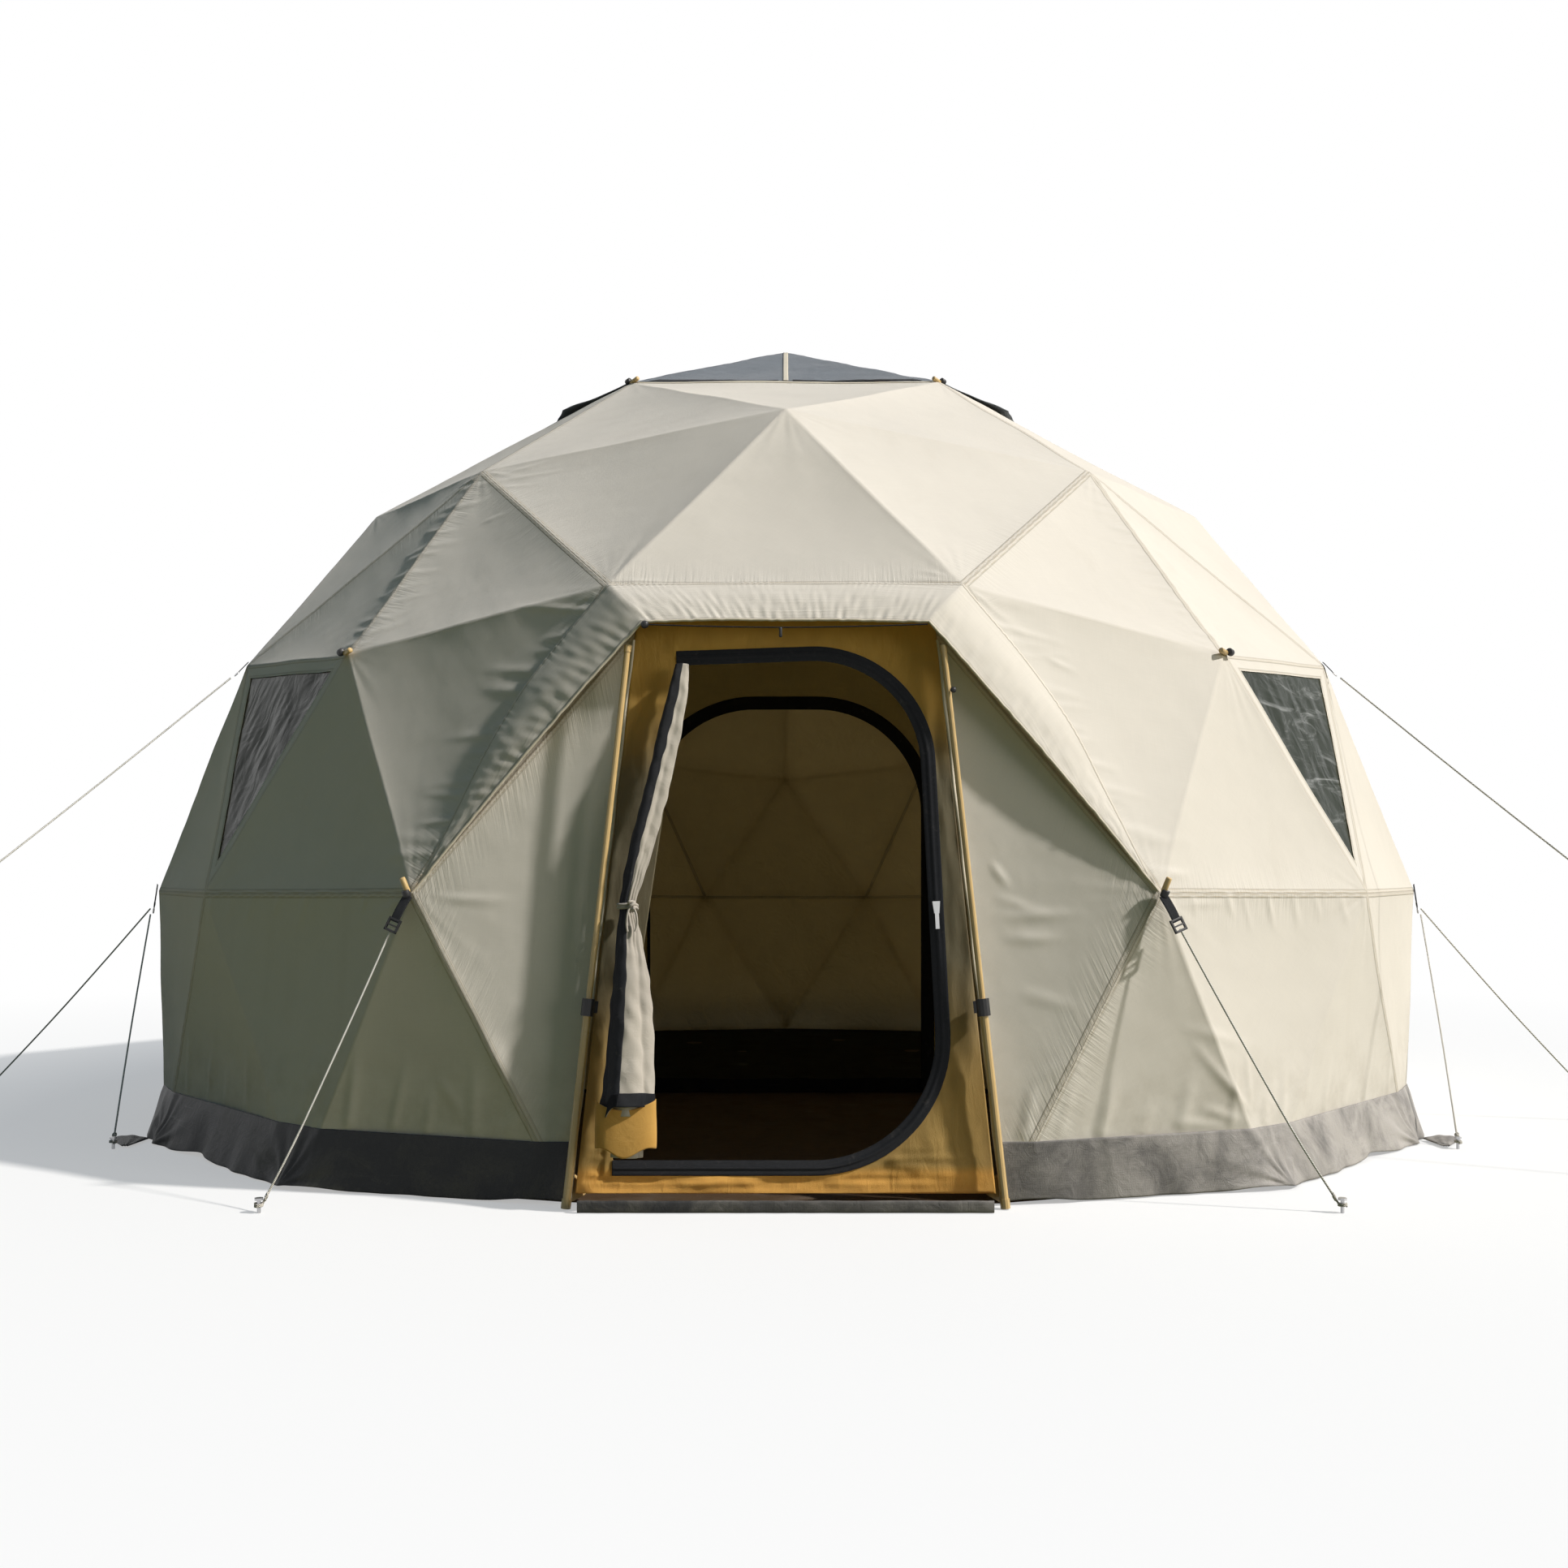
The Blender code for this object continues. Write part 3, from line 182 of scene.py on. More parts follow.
def make_floor():
    """A large pale floor that keeps the shadow and fades to plain white away from the tent. To the
    light that bounces off it, it is as dark as grass."""
    shape = bmesh.new()
    bmesh.ops.create_circle(shape, cap_ends=True, segments=96, radius=FLOOR_RADIUS)
    floor = shape_object("studio_floor", shape)
    floor.location.z = -FLOOR_DROP
    material = bpy.data.materials.new("studio floor")
    look = Nodes(material)
    direct = look.seen_directly()
    place = look.node("TexCoord").outputs["Object"]
    length = look.node("VectorMath", {0: place}, operation="LENGTH").outputs["Value"]
    far = look.node("MapRange", {"Value": length, "From Min": FLOOR_FADE[0], "From Max": FLOOR_FADE[1],
                                 "To Min": FLOOR_FADED_AT_TENT}).outputs["Result"]
    pale = look.node("BsdfDiffuse", {"Color": look.mix(direct, FLOOR_BOUNCE, FLOOR_COLOUR)})
    white = look.node("Emission")
    share = look.math("MULTIPLY", far, direct)
    look.node("OutputMaterial", {"Surface": look.both(share, pale, white)})
    floor.data.materials.append(material)


make_sun("sun", SUN_FROM, SUN_STRENGTH, SUN_SIZE, SUN_COLOUR)
make_sun("side light", SIDE_FROM, SIDE_STRENGTH, SIDE_SIZE, SIDE_COLOUR)
make_sky()
make_floor()


# Dome corners, as in the parts' source

GORES = 5
RINGS = {
    "collar": (0.862, 2.41), "roof_mid": (1.492, 2.032), "roof_post": (1.505, 1.951),
    "eave": (1.935, 1.42), "eave_post": (1.962, 1.352), "waist_mid": (2.185, 0.734),
    "waist": (2.149, 0.722), "ground": (2.165, 0.0), "ground_post": (2.165, 0.0),
}
SPREAD = {"eave": 13.61, "waist": 24.18, "ground": 14.0}
GROUND_POST_TURN = {0: -2.2, 4: 2.2}
FRONT_EAVE = (12.8, 1.935, 1.465)
FRONT_CORNERS = {"ground": (0.50, -2.02, 0.0), "porch_top": (0.360, -1.915, 1.345),
                 "porch_peak": (0.405, -1.903, 1.395)}
PORCH_FACING = (0.12, -1.0, 0.05)
GORE_TURN = 72
CROWN_HEIGHT = 2.79
WAIST_HEIGHT = 0.722
SKIRT_HEIGHT = 0.145
SKIRT_SPLAY = 0.052


def mirrored(place, side):
    """A place of the right half, or its like on the left."""
    x, y, z = place
    return Vector((side * x, y, z))


def on_ring(degrees, radius, height):
    turn = math.radians(degrees)
    return Vector((radius * math.sin(turn), -radius * math.cos(turn), height))


def dome_corners():
    found = {("crown",): Vector((0.0, 0.0, CROWN_HEIGHT))}
    for gore in range(GORES):
        for name, (radius, height) in RINGS.items():
            if name in SPREAD:
                for side in (-1, 1):
                    found[name, gore, side] = on_ring(GORE_TURN * gore + side * SPREAD[name], radius, height)
            elif name in ("roof_mid", "waist_mid"):
                found[name, gore] = on_ring(GORE_TURN * gore, radius, height)
            else:
                turn = GROUND_POST_TURN.get(gore, 0.0) if name == "ground_post" else 0.0
                found[name, gore] = on_ring(GORE_TURN * (gore + 0.5) + turn, radius, height)
    for side in (-1, 1):
        found["eave", 0, side] = on_ring(side * FRONT_EAVE[0], *FRONT_EAVE[1:])
        for name, place in FRONT_CORNERS.items():
            found[name, 0, side] = mirrored(place, side)
    return found


CORNERS = dome_corners()


def after(gore):
    return (gore + 1) % GORES


def before(gore):
    return (gore - 1) % GORES


def fan(middle, ring, closed=True):
    last = len(ring) if closed else len(ring) - 1
    return [(middle, ring[i], ring[(i + 1) % len(ring)]) for i in range(last)]


def vent_facets():
    return fan(("crown",), [("collar", gore) for gore in range(GORES)])


def roof_facets(gore):
    ring = [("collar", before(gore)), ("collar", gore), ("roof_post", gore), ("eave", gore, 1),
            ("eave", gore, -1), ("roof_post", before(gore))]
    return fan(("roof_mid", gore), ring)


def shoulder_facets(gore):
    ring = [("roof_post", gore), ("eave", after(gore), -1), ("waist", after(gore), -1),
            ("waist", gore, 1), ("eave", gore, 1)]
    return fan(("eave_post", gore), ring)


def side_facets(gore):
    ring = [("eave", gore, -1), ("eave", gore, 1), ("waist", gore, 1), ("ground", gore, 1),
            ("ground", gore, -1), ("waist", gore, -1)]
    return fan(("waist_mid", gore), ring)


def post_facets(gore):
    ring = [("ground", gore, 1), ("waist", gore, 1), ("waist", after(gore), -1),
            ("ground", after(gore), -1)]
    return fan(("ground_post", gore), ring, closed=False)


def porch_facets(side):
    foot, waist = ("ground", 0, side), ("waist", 0, side)
    top, peak = ("porch_top", 0, side), ("porch_peak", 0, side)
    return [(foot, waist, top), (top, waist, peak)]


def window_facet(side):
    post, gore = (0, 1) if side > 0 else (4, 4)
    return {("eave_post", post), ("eave", gore, -side), ("waist", gore, -side)}


def outward(keys):
    """The corners' names in the order that runs anticlockwise for somebody outside."""
    a, b, c = (CORNERS[key] for key in keys)
    middle = (a + b + c) / 3 - Vector((0.0, 0.0, WAIST_HEIGHT))
    return keys if (b - a).cross(c - a).dot(middle) > 0 else (keys[0], keys[2], keys[1])


def dome_facets():
    """Every facet but the vent's and those over the doorway."""
    found = []
    for gore in range(GORES):
        sides = side_facets(gore) if gore else []
        found += roof_facets(gore) + shoulder_facets(gore) + sides + post_facets(gore)
    return found


def clothed_facets():
    """The dome's facets without the two that hold windows."""
    windows = [window_facet(side) for side in (-1, 1)]
    return [keys for keys in dome_facets() if set(keys) not in windows]


def on_ground(key):
    return key[0].startswith("ground")


def on_porch(key):
    return key[0].startswith("porch")


def corner_normals():
    normals = {}
    for keys in vent_facets() + dome_facets() + side_facets(0):
        keys = outward(keys)
        a, b, c = (CORNERS[key] for key in keys)
        for key in keys:
            normals[key] = normals.get(key, Vector()) + (b - a).cross(c - a)
    for key, normal in normals.items():
        if on_ground(key):
            normal.z = 0.0
        normal.normalize()
    for side in (-1, 1):
        for name in ("porch_top", "porch_peak"):
            normals[name, 0, side] = mirrored(PORCH_FACING, side).normalized()
    return normals


NORMALS = corner_normals()


# Mesh helpers

def new_mesh(name, points, faces):
    """A mesh object from arrays; every face has the same number of corners."""
    mesh = bpy.data.meshes.new(name)
    points = np.asarray(points, np.float32)
    faces = np.asarray(faces, np.int32)
    mesh.vertices.add(len(points))
    mesh.vertices.foreach_set("co", points.ravel())
    mesh.loops.add(faces.size)
    mesh.loops.foreach_set("vertex_index", faces.ravel())
    mesh.polygons.add(len(faces))
    mesh.polygons.foreach_set("loop_start", np.arange(0, faces.size, faces.shape[1], dtype=np.int32))
    mesh.update(calc_edges=True)
    mesh.shade_smooth()
    return add_object(name, mesh)


def set_seams(obj, gaps):
    """The distances to the seams at each face corner."""
    made = obj.data.attributes.new("seams", "FLOAT_VECTOR", "CORNER")
    made.data.foreach_set("vector", np.asarray(gaps, np.float32).ravel())


def set_uv(obj, values):
    layer = obj.data.uv_layers.new(name="cut")
    layer.data.foreach_set("uv", np.asarray(values, np.float32).ravel())


def grid_faces(rows, columns, closed=False):
    """Four-cornered faces of a grid of rows by columns of points, joined round if closed."""
    wide = columns if closed else columns - 1
    r, c = np.meshgrid(np.arange(rows - 1), np.arange(wide), indexing="ij")
    nxt = (c + 1) % columns
    return np.stack([r * columns + c, r * columns + nxt, (r + 1) * columns + nxt, (r + 1) * columns + c],
                    axis=-1).reshape(-1, 4)


def run_of(points):
    """How far along a line each of its points is."""
    return np.concatenate([[0], np.cumsum(np.linalg.norm(np.diff(points, axis=0), axis=1))])


def grid_object(name, grid, closed=False):
    """A sheet from a rows x columns x 3 array of points, with a UV map in metres."""
    grid = np.asarray(grid, float)
    rows, columns = grid.shape[:2]
    faces = grid_faces(rows, columns, closed)
    made = new_mesh(name, grid.reshape(-1, 3), faces)
    across = np.concatenate([[0], np.cumsum(np.linalg.norm(np.diff(grid, axis=1), axis=2).mean(0))])
    down = np.concatenate([[0], np.cumsum(np.linalg.norm(np.diff(grid, axis=0), axis=2).mean(1))])
    uv = np.stack(np.meshgrid(across, down), axis=-1).reshape(-1, 2)
    set_uv(made, uv[faces.ravel()])
    return made


def smooth_step(low, high, value):
    t = np.clip((value - low) / (high - low), 0, 1)
    return t * t * (3 - 2 * t)


def lerped(first, last, shares):
    """Points between two others, at each of these shares of the way."""
    return [first.lerp(last, share) for share in shares]


def resampled(points, count):
    """The same line with this many points, evenly spaced along it."""
    points = np.asarray(points, float)
    along = run_of(points)
    at = np.linspace(0, along[-1], count)
    return np.stack([np.interp(at, along, points[:, k]) for k in range(points.shape[1])], axis=1)


def tube(name, points, radius, sides=10, closed=False):
    """A round tube along a line, closed at its ends."""
    curve = bpy.data.curves.new(name, "CURVE")
    curve.dimensions = "3D"
    line = curve.splines.new("POLY")
    line.points.add(len(points) - 1)
    for place, point in zip(line.points, points):
        place.co = (*point, 1.0)
    line.use_cyclic_u = closed
    curve.bevel_depth = radius
    curve.bevel_resolution = max(1, sides // 4)
    curve.use_fill_caps = True
    return add_object(name, curve)


# Materials

class Look(Nodes):
    """A material being made, with the parts that most cloths share. Its `place` is a point of the
    tent and its `cut` a point of the flat cloth, both in metres."""

    def __init__(self, name):
        self.material = bpy.data.materials.new(name)
        super().__init__(self.material, empty=False)
        self.shader = self.tree.nodes["Principled BSDF"]
        self.output = self.tree.nodes["Material Output"]
        self.place = self.node("TexCoord").outputs["Object"]
        self.cut = self.node("UVMap", uv_map="cut").outputs["UV"]

    def times(self, first, second):
        return self.math("MULTIPLY", first, second)

    def plus(self, first, second):
        return self.math("ADD", first, second)

    def minus(self, first, second):
        return self.math("SUBTRACT", first, second)

    def wave(self, value, pitch):
        return self.math("SINE", self.times(value, math.tau / pitch))

    def parts(self, vector):
        return self.node("SeparateXYZ", {0: vector}).outputs

    def noise(self, scale, detail=3.0, rough=0.55, warp=0.0, at=None):
        values = {"Vector": at or self.place, "Scale": scale, "Detail": detail, "Roughness": rough,
                  "Distortion": warp}
        return self.node("TexNoise", values).outputs["Fac"]

    def streaks(self, scales, detail=3.0, rough=0.55, warp=0.0, at=None):
        """Noise with its own scale along each axis."""
        stretched = self.node("Mapping", {"Vector": at or self.place, "Scale": scales}).outputs["Vector"]
        return self.noise(1.0, detail, rough, warp, stretched)

    def range(self, value, low, high, to_low=0.0, to_high=1.0):
        """A smooth step from one value to another."""
        values = {"Value": value, "From Min": low, "From Max": high, "To Min": to_low, "To Max": to_high}
        return self.node("MapRange", values, interpolation_type="SMOOTHSTEP").outputs["Result"]

    def fade(self, value, low, high):
        """A smooth step from one down to zero."""
        return self.range(value, low, high, 1.0, 0.0)

    def over(self, base, share, most, colour):
        """A colour laid over the base, where the share is one by this much."""
        return self.mix(self.times(share, most), base, colour)

    def tinted(self, colour, value, depth):
        """The colour made lighter and darker by a value about one half."""
        if isinstance(colour, tuple):
            low = tuple(c * (1 - depth) for c in colour)
            return self.mix(value, low, tuple(min(1.0, c * (1 + depth)) for c in colour))
        grey = self.mix(value, (1 - depth,) * 3, (1 + depth,) * 3)
        return self.mix(1.0, colour, grey, "MULTIPLY")

    def threads(self, pitch):
        """A plain weave of about unit height."""
        u, v, _ = self.parts(self.cut)
        return self.times(self.wave(u, pitch), self.wave(v, pitch))

    def slubs(self):
        """Thicker threads, in streaks along both ways of the cloth."""
        across = self.streaks((14.0, 520.0, 1.0), 2.0, at=self.cut)
        along = self.streaks((520.0, 14.0, 1.0), 2.0, at=self.cut)
        return self.times(self.plus(across, along), 0.5)

    def weave(self, pitch, depth, strength, under):
        """The relief of threads and slubs."""
        height = self.plus(self.times(self.threads(pitch), 0.5), self.slubs())
        return self.bump(height, depth, strength, under)

    def seam_gaps(self):
        """Distances to the three edges of the facet, in metres; edges without a seam are far off."""
        return self.parts(self.node("Attribute", attribute_name="seams").outputs["Vector"])

    def seams(self):
        """Distance to the nearest seam of the sheet."""
        gaps = self.seam_gaps()
        return self.math("MINIMUM", self.math("MINIMUM", gaps[0], gaps[1]), gaps[2])

    def puckers(self, reach, pitch):
        """Short folds square to each seam, which fade away from it."""
        gaps = self.seam_gaps()
        total = 0.0
        for k in range(3):
            along = self.minus(gaps[(k + 1) % 3], gaps[(k + 2) % 3])
            values = {0: self.times(along, 1 / pitch), 1: self.times(gaps[k], 0.11 / pitch), 2: 3.7 * k}
            fold = self.noise(1.0, 2.0, 0.6, 0.5, self.node("CombineXYZ", values).outputs[0])
            total = self.plus(total, self.times(self.minus(fold, 0.5), self.fade(gaps[k], 0.003, reach)))
        return total

    def band(self, value, centre, half, soft):
        """One inside a band round a value, and zero outside it."""
        away = self.math("ABSOLUTE", self.minus(value, centre))
        return self.fade(away, half, half + soft)

    def bump(self, height, distance, strength=1.0, under=None):
        values = {"Height": height, "Distance": distance, "Strength": strength}
        if under is not None:
            values["Normal"] = under
        return self.node("Bump", values).outputs["Normal"]

    def let_through(self, share, colour, normal):
        """Lets part of the light through the cloth."""
        glow = self.node("BsdfTranslucent", {"Color": colour, "Normal": normal})
        self.put(self.output.inputs["Surface"], self.both(share, self.shader, glow))

    def finish(self, colour, roughness, normal, shine=0.5, **more):
        """Joins everything to the shader and gives the material back."""
        values = dict(more, Base_Color=colour, Roughness=roughness, Normal=normal, Specular_IOR_Level=shine)
        for key, value in values.items():
            self.put(self.shader.inputs[key.replace("_", " ")], value)
        return self.material


SEAM_HALF_WIDTH = 0.0100
STITCH_ROWS = (0.0086, 0.0026)
STITCH_PITCH = 0.0046
WEAVE_PITCH = 0.0013
RIPSTOP_PITCH = 0.006
NET_PITCH = 0.0034


def seam_marks(look):
    """Shares of the canvas that are felled seam, its edge, its ditch, stitch rows and stitches."""
    seam = look.seams()
    u, v, _ = look.parts(look.cut)
    dash = look.range(look.wave(look.plus(u, look.times(v, 0.63)), STITCH_PITCH), -0.55, -0.25)
    rows = look.math("MAXIMUM", *(look.band(seam, away, 0.0004, 0.0006) for away in STITCH_ROWS))
    felled = look.fade(seam, SEAM_HALF_WIDTH, SEAM_HALF_WIDTH + 0.0016)
    edge = look.band(seam, SEAM_HALF_WIDTH + 0.0012, 0.0004, 0.0016)
    return felled, edge, look.band(seam, 0.0, 0.0003, 0.0012), rows, look.times(rows, dash)


def sewn_canvas(name, colour, thread):
    """Cream canvas: weave, slubs, felled and double-stitched seams with painted shade along their edges and
    ditches, creases, and dust near the foot.
    """
    look = Look(name)
    height = look.parts(look.place)[2]
    patch = look.noise(6.5, 5.0, 0.62, 0.4)
    base = look.tinted(colour, look.noise(1.4, 4.0, 0.6), 0.055)
    base = look.tinted(look.tinted(base, patch, 0.045), look.slubs(), 0.07)
    dust = look.times(look.fade(height, 0.14, 0.46), look.range(look.noise(9.0, 6.0, 0.7), 0.38, 0.72))
    base = look.over(base, dust, 0.26, (0.36, 0.31, 0.23))
    streak = look.range(look.streaks((9.0, 9.0, 0.9), 4.0), 0.56, 0.80)
    base = look.over(base, streak, 0.10, (0.50, 0.45, 0.36))
    felled, edge, ditch, rows, stitch = seam_marks(look)
    base = look.over(base, felled, 0.10, (0.44, 0.38, 0.29))
    # Painted shade: a dark line beside each felled seam's edge, and another in the seam's ditch.
    base = look.over(base, edge, 0.42, (0.20, 0.17, 0.12))
    base = look.over(base, ditch, 0.45, (0.18, 0.15, 0.11))
    base = look.over(base, stitch, 0.75, thread)
    patches = look.range(look.noise(2.6, 2.0), 0.40, 0.62, 0.35, 1.0)
    normal = look.bump(look.noise(9.0, 3.0, 0.5, 1.0), 0.0006, 0.5)
    normal = look.bump(look.times(look.puckers(0.12, 0.020), patches), 0.0026, 0.8, normal)
    normal = look.bump(look.puckers(0.045, 0.009), 0.0018, 0.7, normal)
    normal = look.bump(look.minus(felled, look.times(ditch, 0.8)), 0.0009, 0.9, normal)
    normal = look.bump(look.minus(stitch, look.times(rows, 0.6)), 0.0005, 0.8, normal)
    normal = look.weave(WEAVE_PITCH, 0.00022, 0.55, normal)
    look.let_through(0.13, (0.86, 0.74, 0.50), normal)
    roughness = look.range(patch, 0.3, 0.7, 0.78, 0.92)
    return look.finish(base, roughness, normal, 0.15, Sheen_Weight=0.12, Sheen_Roughness=0.5)


def coated_fabric(name, colour, dusty=0.5, roughness=0.5, shine=0.3, sunlit_side_paint=0.0):
    """Proofed groundsheet cloth: ripstop grid, faint gloss, scuffs and dry dust; when asked, painted
    sunlight and sheen lighten its right side in patches.
    """
    look = Look(name)
    height = look.parts(look.place)[2]
    cloud = look.noise(3.0, 5.0, 0.6)
    speck = look.noise(42.0, 5.0, 0.7)
    base = look.tinted(look.tinted(colour, cloud, 0.22), speck, 0.12)
    low = look.range(height, 0.0, 0.11, 1.0, 0.25)
    dust = look.times(low, look.range(look.noise(7.0, 7.0, 0.72, 0.5), 0.42, 0.78))
    base = look.over(base, dust, dusty, (0.30, 0.28, 0.25))
    scuff = look.range(look.streaks((5.0, 5.0, 60.0), 3.0), 0.66, 0.80)
    base = look.over(base, scuff, 0.15, (0.34, 0.33, 0.32))
    # Painted sunlight and sheen: the cloth is made paler towards +x, in patches, where the sun falls.
    if sunlit_side_paint:
        sunlit_side = look.times(look.range(look.parts(look.place)[0], -0.6, 1.6), sunlit_side_paint)
        patchy = look.range(look.noise(5.0, 6.0, 0.65, 0.8), 0.30, 0.62, 0.35, 1.0)
        painted_sunlight = look.times(sunlit_side, patchy)
        base = look.mix(painted_sunlight, base, (0.46, 0.43, 0.40))
    u, v, _ = look.parts(look.cut)
    grid = look.math("MAXIMUM", look.wave(u, RIPSTOP_PITCH), look.wave(v, RIPSTOP_PITCH))
    ridge = look.range(grid, 0.86, 0.98)
    creases = look.noise(22.0, 6.0, 0.6, 1.4)
    normal = look.bump(creases, 0.004, 0.6)
    normal = look.bump(look.plus(ridge, look.times(look.threads(0.0011), 0.3)), 0.0002, 0.6, normal)
    gloss = look.range(dust, 0.0, 0.8, roughness, 0.88)
    return look.finish(base, gloss, normal, shine)


def soft_fabric(name, colour, second=None, through=0.0, glow=(0.9, 0.6, 0.25), pitch=0.0012, crease=0.003,
                roughness=0.88, sheen=0.2):
    """Plain woven cloth with slubs, creases and two tones that run into each other."""
    look = Look(name)
    cloud = look.noise(2.2, 4.0, 0.6)
    patch = look.noise(9.0, 5.0, 0.6, 0.5)
    base = colour
    if second:
        base = look.mix(look.range(cloud, 0.40, 0.62), colour, second)
    base = look.tinted(look.tinted(base, patch, 0.10), look.slubs(), 0.08)
    creases = look.noise(18.0, 5.0, 0.6, 1.2)
    normal = look.bump(creases, crease, 0.6)
    normal = look.weave(pitch, 0.00025, 0.6, normal)
    if through:
        look.let_through(through, glow, normal)
    rough = look.range(patch, 0.3, 0.7, roughness - 0.06, roughness + 0.05)
    return look.finish(base, rough, normal, 0.25, Sheen_Weight=sheen)


def door_fabric(name):
    """The door wall: tan in the middle, darkened as painted shade; golden under the awning, a painted glow
    of light through the canvas; mustard lower down and bright mustard along the sill, painted sunlight.
    """
    look = Look(name)
    x, _, height = look.parts(look.place)
    warp = look.times(look.minus(look.noise(5.0, 4.0), 0.5), 0.16)
    level = look.plus(height, warp)
    # Painted shade: the tan is kept dark for the shade under the awning.
    tan = look.mix(look.noise(3.0, 4.0), (0.185, 0.168, 0.115), (0.145, 0.13, 0.08))
    # Painted glow: golden high up, for light coming through the canvas under the awning.
    base = look.mix(look.range(level, 0.95, 1.24), tan, (0.58, 0.37, 0.095))
    # Painted sunlight: mustard lower down.
    base = look.mix(look.fade(level, 0.20, 0.60), base, (0.50, 0.34, 0.12))
    # Painted sunlight: bright mustard along the sill.
    base = look.mix(look.fade(height, 0.070, 0.100), base, (0.92, 0.52, 0.13))
    base = look.tinted(look.tinted(base, look.noise(14.0, 5.0, 0.6), 0.10), look.slubs(), 0.08)
    dirt = look.times(look.fade(height, 0.03, 0.10), look.range(look.noise(26.0, 5.0, 0.7), 0.50, 0.75))
    base = look.over(base, dirt, 0.16, (0.30, 0.18, 0.07))
    hem = look.times(look.range(look.math("ABSOLUTE", x), 0.44, 0.47), 0.2)
    base = look.mix(hem, base, (0.25, 0.18, 0.08))
    creases = look.streaks((34.0, 20.0, 11.0), 4.0, 0.55, 0.9)
    normal = look.bump(creases, 0.0035, 0.6)
    normal = look.weave(0.0012, 0.00025, 0.6, normal)
    look.let_through(0.22, (0.95, 0.62, 0.22), normal)
    return look.finish(base, 0.84, normal, 0.15, Sheen_Weight=0.10)


def lining_fabric(name, taped=True):
    """The inner tent's thin lining, which glows a little, with dark taped seams."""
    look = Look(name)
    base = look.tinted((0.54, 0.475, 0.30), look.noise(1.6, 4.0, 0.6), 0.12)
    base = look.tinted(look.tinted(base, look.noise(8.0, 5.0), 0.08), look.slubs(), 0.06)
    normal = look.bump(look.noise(12.0, 5.0, 0.6, 1.3), 0.006, 0.6)
    if taped:
        tape = look.fade(look.seams(), 0.0065, 0.0085)
        base = look.over(base, tape, 0.80, (0.085, 0.065, 0.04))
        normal = look.bump(tape, 0.0012, 0.8, normal)
    look.let_through(0.26, (0.80, 0.70, 0.42), normal)
    return look.finish(base, 0.85, normal, 0.15, Sheen_Weight=0.1)


def mesh_fabric(name):
    """The vent cap's dark mesh with a proofed backing."""
    look = Look(name)
    u, v, _ = look.parts(look.cut)
    net = look.math("MAXIMUM", look.wave(u, NET_PITCH), look.wave(v, NET_PITCH))
    holes = look.range(net, 0.15, 0.60)
    cloud = look.noise(4.0, 5.0, 0.6)
    base = look.mix(holes, (0.030, 0.036, 0.044), (0.155, 0.178, 0.205))
    base = look.tinted(base, cloud, 0.25)
    dust = look.range(look.noise(11.0, 6.0, 0.7), 0.5, 0.8)
    base = look.over(base, dust, 0.22, (0.30, 0.31, 0.32))
    normal = look.bump(look.noise(13.0, 5.0, 0.6, 1.1), 0.005, 0.6)
    normal = look.bump(net, 0.0005, 0.7, normal)
    return look.finish(base, look.range(cloud, 0.3, 0.7, 0.55, 0.75), normal)


def tape_fabric(name, colour, rib=0.0016):
    """Ribbed webbing or zip tape."""
    look = Look(name)
    u, v, _ = look.parts(look.cut)
    ribs = look.wave(look.plus(u, v), rib)
    base = look.tinted(look.tinted(colour, look.noise(20.0, 5.0, 0.7), 0.35), look.noise(160.0), 0.2)
    dust = look.range(look.noise(30.0, 6.0, 0.72), 0.56, 0.82)
    base = look.over(base, dust, 0.18, (0.28, 0.26, 0.23))
    normal = look.bump(look.noise(60.0, 4.0), 0.0012, 0.5)
    normal = look.bump(ribs, 0.0003, 0.7, normal)
    return look.finish(base, 0.62, normal, 0.12)


def clear_film(name):
    """Smoky window film over a dark inside, its dark green-black partly painted shade of that inside:
    ripples, whitish smears that are partly painted reflection and much stronger on the right, and scratches.
    """
    look = Look(name)
    # Painted shade: the dark green-black base also stands for the shaded inside behind the film.
    base = look.mix(look.noise(2.5, 3.0), (0.010, 0.014, 0.009), (0.040, 0.048, 0.036))
    smear = look.range(look.streaks((4.0, 4.0, 16.0), 5.0, 0.65, 1.6), 0.52, 0.78)
    # Painted reflection: the whitish smears are made much stronger on the right window, where the film
    # catches the light.
    painted_reflection_share = look.range(look.parts(look.place)[0], -0.5, 0.5, 0.06, 0.55)
    base = look.over(base, smear, painted_reflection_share, (0.40, 0.41, 0.41))
    normal = look.bump(look.noise(7.0, 3.0, 0.5, 1.4), 0.010, 0.6)
    normal = look.bump(look.streaks((30.0, 30.0, 8.0), 3.0, 0.5, 0.8), 0.002, 0.5, normal)
    return look.finish(base, 0.22, normal, 0.05)


def hard_finish(name, colour, roughness, metallic=0.0, wear=(0.2, 0.2, 0.2), grain=(1.0, 1.0, 1.0),
                coat=0.0):
    """Plastic, metal or lacquered tube, with scratches, rubbed patches and dust."""
    look = Look(name)
    cloud = look.noise(24.0, 5.0, 0.65)
    scratch = look.streaks(tuple(160.0 * part for part in grain), 3.0, 0.6)
    base = look.tinted(look.tinted(colour, cloud, 0.16), scratch, 0.08)
    rubbed = look.range(look.noise(70.0, 6.0, 0.75), 0.60, 0.75)
    base = look.over(base, rubbed, 0.30, wear)
    normal = look.bump(scratch, 0.0002, 0.5)
    rough = look.range(cloud, 0.3, 0.7, roughness - 0.08, roughness + 0.12)
    return look.finish(base, rough, normal, 0.3, Metallic=metallic, Coat_Weight=coat)


